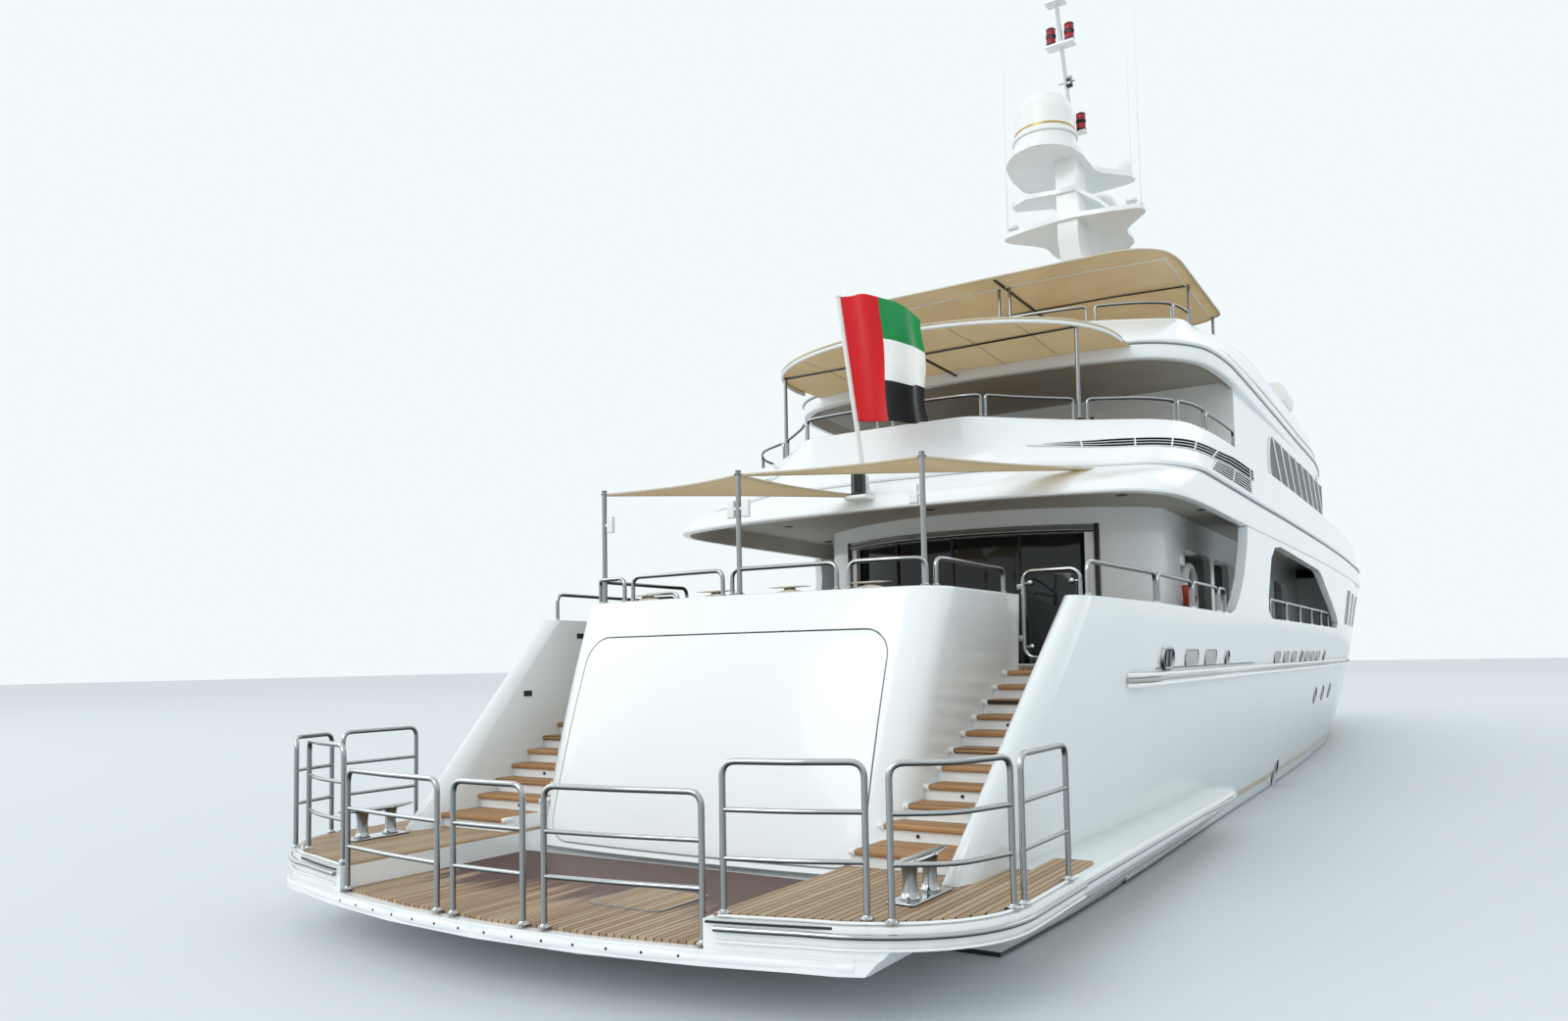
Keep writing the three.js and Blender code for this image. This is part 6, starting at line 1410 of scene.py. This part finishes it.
def build_camera():
    """The camera's axes from its heading, pitch and roll; the optical centre's place gives the shift."""
    heading, pitch, roll = 0.563, 0.0617, -0.01752
    focal_pixels, frame_pixels = 1107.39, 1600
    level = math.cos(pitch)
    ahead = np.array([math.cos(heading) * level, math.sin(heading) * level, math.sin(pitch)])
    right = np.array([math.sin(heading), -math.cos(heading), 0.0])
    up = np.cross(right, ahead)
    across = math.cos(roll) * right + math.sin(roll) * up
    upright = -math.sin(roll) * right + math.cos(roll) * up
    lens = bpy.data.cameras.new("camera")
    lens.sensor_width = 36.0
    lens.sensor_fit = "HORIZONTAL"
    lens.lens = lens.sensor_width * focal_pixels / frame_pixels
    lens.shift_x = -0.0005
    lens.shift_y = 0.05335
    lens.clip_end = 1000
    camera = linked("camera", lens)
    matrix = Matrix.Identity(4)
    for k in range(3):
        matrix[k][0], matrix[k][1], matrix[k][2] = across[k], upright[k], -ahead[k]
    matrix.translation = (-14.2705, -3.4555, 1.3025)
    camera.matrix_world = matrix
    bpy.context.scene.camera = camera


class YachtSizes(PropertyGroup):
    """Sizes in real metres"""
    rail_radius: FloatProperty(name="Rail radius", description="Radius of the guard rails' tube",
                               default=0.025, min=0.01, max=0.05, unit="LENGTH")
    sail_sag: FloatProperty(name="Sail sag", description="How far the sunshades hang in the middle",
                            default=0.07, min=0.0, max=0.3, unit="LENGTH")
    awning_sag: FloatProperty(name="Awning sag", description="How far the awnings hang between their tubes",
                              default=0.035, min=0.0, max=0.1, unit="LENGTH")
    flag_wave: FloatProperty(name="Flag wave", description="Depth of the ensign's folds at the fly",
                             default=0.12, min=0.0, max=0.3, unit="LENGTH")


class YachtColours(PropertyGroup):
    """Colours as sRGB hex codes"""
    paint_hex: StringProperty(name="Paint", description="Topcoat of hull and house", default="#F6F8F8")
    canvas_hex: StringProperty(name="Canvas", description="Awnings and sunshades", default="#F1E5CB")


shared = {}


def finishes(context):
    """The materials, made at the first call."""
    if "finish" not in shared:
        shared["finish"] = Finishes(context.scene.yacht_colours)
    return shared["finish"]


def build(context, *builders):
    """Calls each builder with the materials and the scene's sizes."""
    for builder in builders:
        builder(finishes(context), context.scene.yacht_sizes)
    return {"FINISHED"}


class YACHT_OT_camera(Operator):
    """Camera at the photograph's place and angle"""
    bl_idname = "yacht.camera"
    bl_label = "Camera"

    def execute(self, context):
        build_camera()
        return {"FINISHED"}


class YACHT_OT_stage(Operator):
    """Pale floor at the waterline and soft lights"""
    bl_idname = "yacht.stage"
    bl_label = "Stage"

    def execute(self, context):
        build_stage()
        return {"FINISHED"}


class YACHT_OT_finishes(Operator):
    """Materials and soft shading on the CAD nodes"""
    bl_idname = "yacht.finishes"
    bl_label = "Finishes"

    def execute(self, context):
        dress_nodes(finishes(context))
        return {"FINISHED"}


class YACHT_OT_transom(Operator):
    """Smooth transom skin with its door"""
    bl_idname = "yacht.transom"
    bl_label = "Transom"

    def execute(self, context):
        return build(context, build_transom)


class YACHT_OT_platform(Operator):
    """Trims, hatch and bitts of the bathing platform"""
    bl_idname = "yacht.platform"
    bl_label = "Platform"

    def execute(self, context):
        return build(context, build_platform, build_bitts)


class YACHT_OT_stairs(Operator):
    """Stair treads and boarding gates"""
    bl_idname = "yacht.stairs"
    bl_label = "Stairs and gates"

    def execute(self, context):
        return build(context, build_stairs, build_gates)


class YACHT_OT_hull_fittings(Operator):
    """Rub rail, ports and rims along the plating"""
    bl_idname = "yacht.hull_fittings"
    bl_label = "Hull fittings"

    def execute(self, context):
        return build(context, build_plating, build_hull_fittings)


class YACHT_OT_saloon(Operator):
    """Frames, header, lamps and lifebuoys of the aft deck"""
    bl_idname = "yacht.saloon"
    bl_label = "Saloon front"

    def execute(self, context):
        return build(context, build_saloon_front)


class YACHT_OT_decks(Operator):
    """Upper deck and sun deck with their bulwarks and louvres"""
    bl_idname = "yacht.decks"
    bl_label = "Deck edges"

    def execute(self, context):
        return build(context, build_upper_deck, build_sun_deck, build_louvres, build_lounge_windows)


class YACHT_OT_rails(Operator):
    """Guard rails and sail posts"""
    bl_idname = "yacht.rails"
    bl_label = "Guard rails"

    def execute(self, context):
        return build(context, build_rails)


class YACHT_OT_mast(Operator):
    """Lamps, aerials and bands of the mast"""
    bl_idname = "yacht.mast"
    bl_label = "Mast gear"

    def execute(self, context):
        return build(context, build_mast_gear)


class YACHT_OT_cloth(Operator):
    """Sunshades, awnings, ensign and cushions with their battens"""
    bl_idname = "yacht.cloth"
    bl_label = "Cloth"

    def execute(self, context):
        return build(context, build_sails, build_canopies, build_canopy_frames,
                     build_ensign, build_cushions, build_awning_gear)


OPERATORS = (YACHT_OT_camera, YACHT_OT_stage, YACHT_OT_finishes, YACHT_OT_transom, YACHT_OT_platform,
             YACHT_OT_stairs, YACHT_OT_hull_fittings, YACHT_OT_saloon, YACHT_OT_decks, YACHT_OT_rails,
             YACHT_OT_mast, YACHT_OT_cloth)


class YACHT_PT_panel(Panel):
    """Lists the yacht's sizes, colours and builders"""
    bl_label = "Motor yacht"
    bl_idname = "YACHT_PT_panel"
    bl_space_type = "VIEW_3D"
    bl_region_type = "UI"
    bl_category = "Yacht"

    def draw(self, context):
        for group in (context.scene.yacht_sizes, context.scene.yacht_colours):
            for name in group.__annotations__:
                self.layout.prop(group, name)
        for operator in OPERATORS:
            self.layout.operator(operator.bl_idname)


CLASSES = (YachtSizes, YachtColours) + OPERATORS + (YACHT_PT_panel,)


def register():
    """Adds the classes and the scene's sizes and colours."""
    for kind in CLASSES:
        bpy.utils.register_class(kind)
    bpy.types.Scene.yacht_sizes = PointerProperty(type=YachtSizes)
    bpy.types.Scene.yacht_colours = PointerProperty(type=YachtColours)


def unregister():
    """Takes them away again."""
    del bpy.types.Scene.yacht_colours
    del bpy.types.Scene.yacht_sizes
    for kind in reversed(CLASSES):
        bpy.utils.unregister_class(kind)


def main():
    """Builds every group."""
    register()
    for operator in OPERATORS:
        group, name = operator.bl_idname.split(".")
        getattr(getattr(bpy.ops, group), name)()


if __name__ == "__main__":
    main()
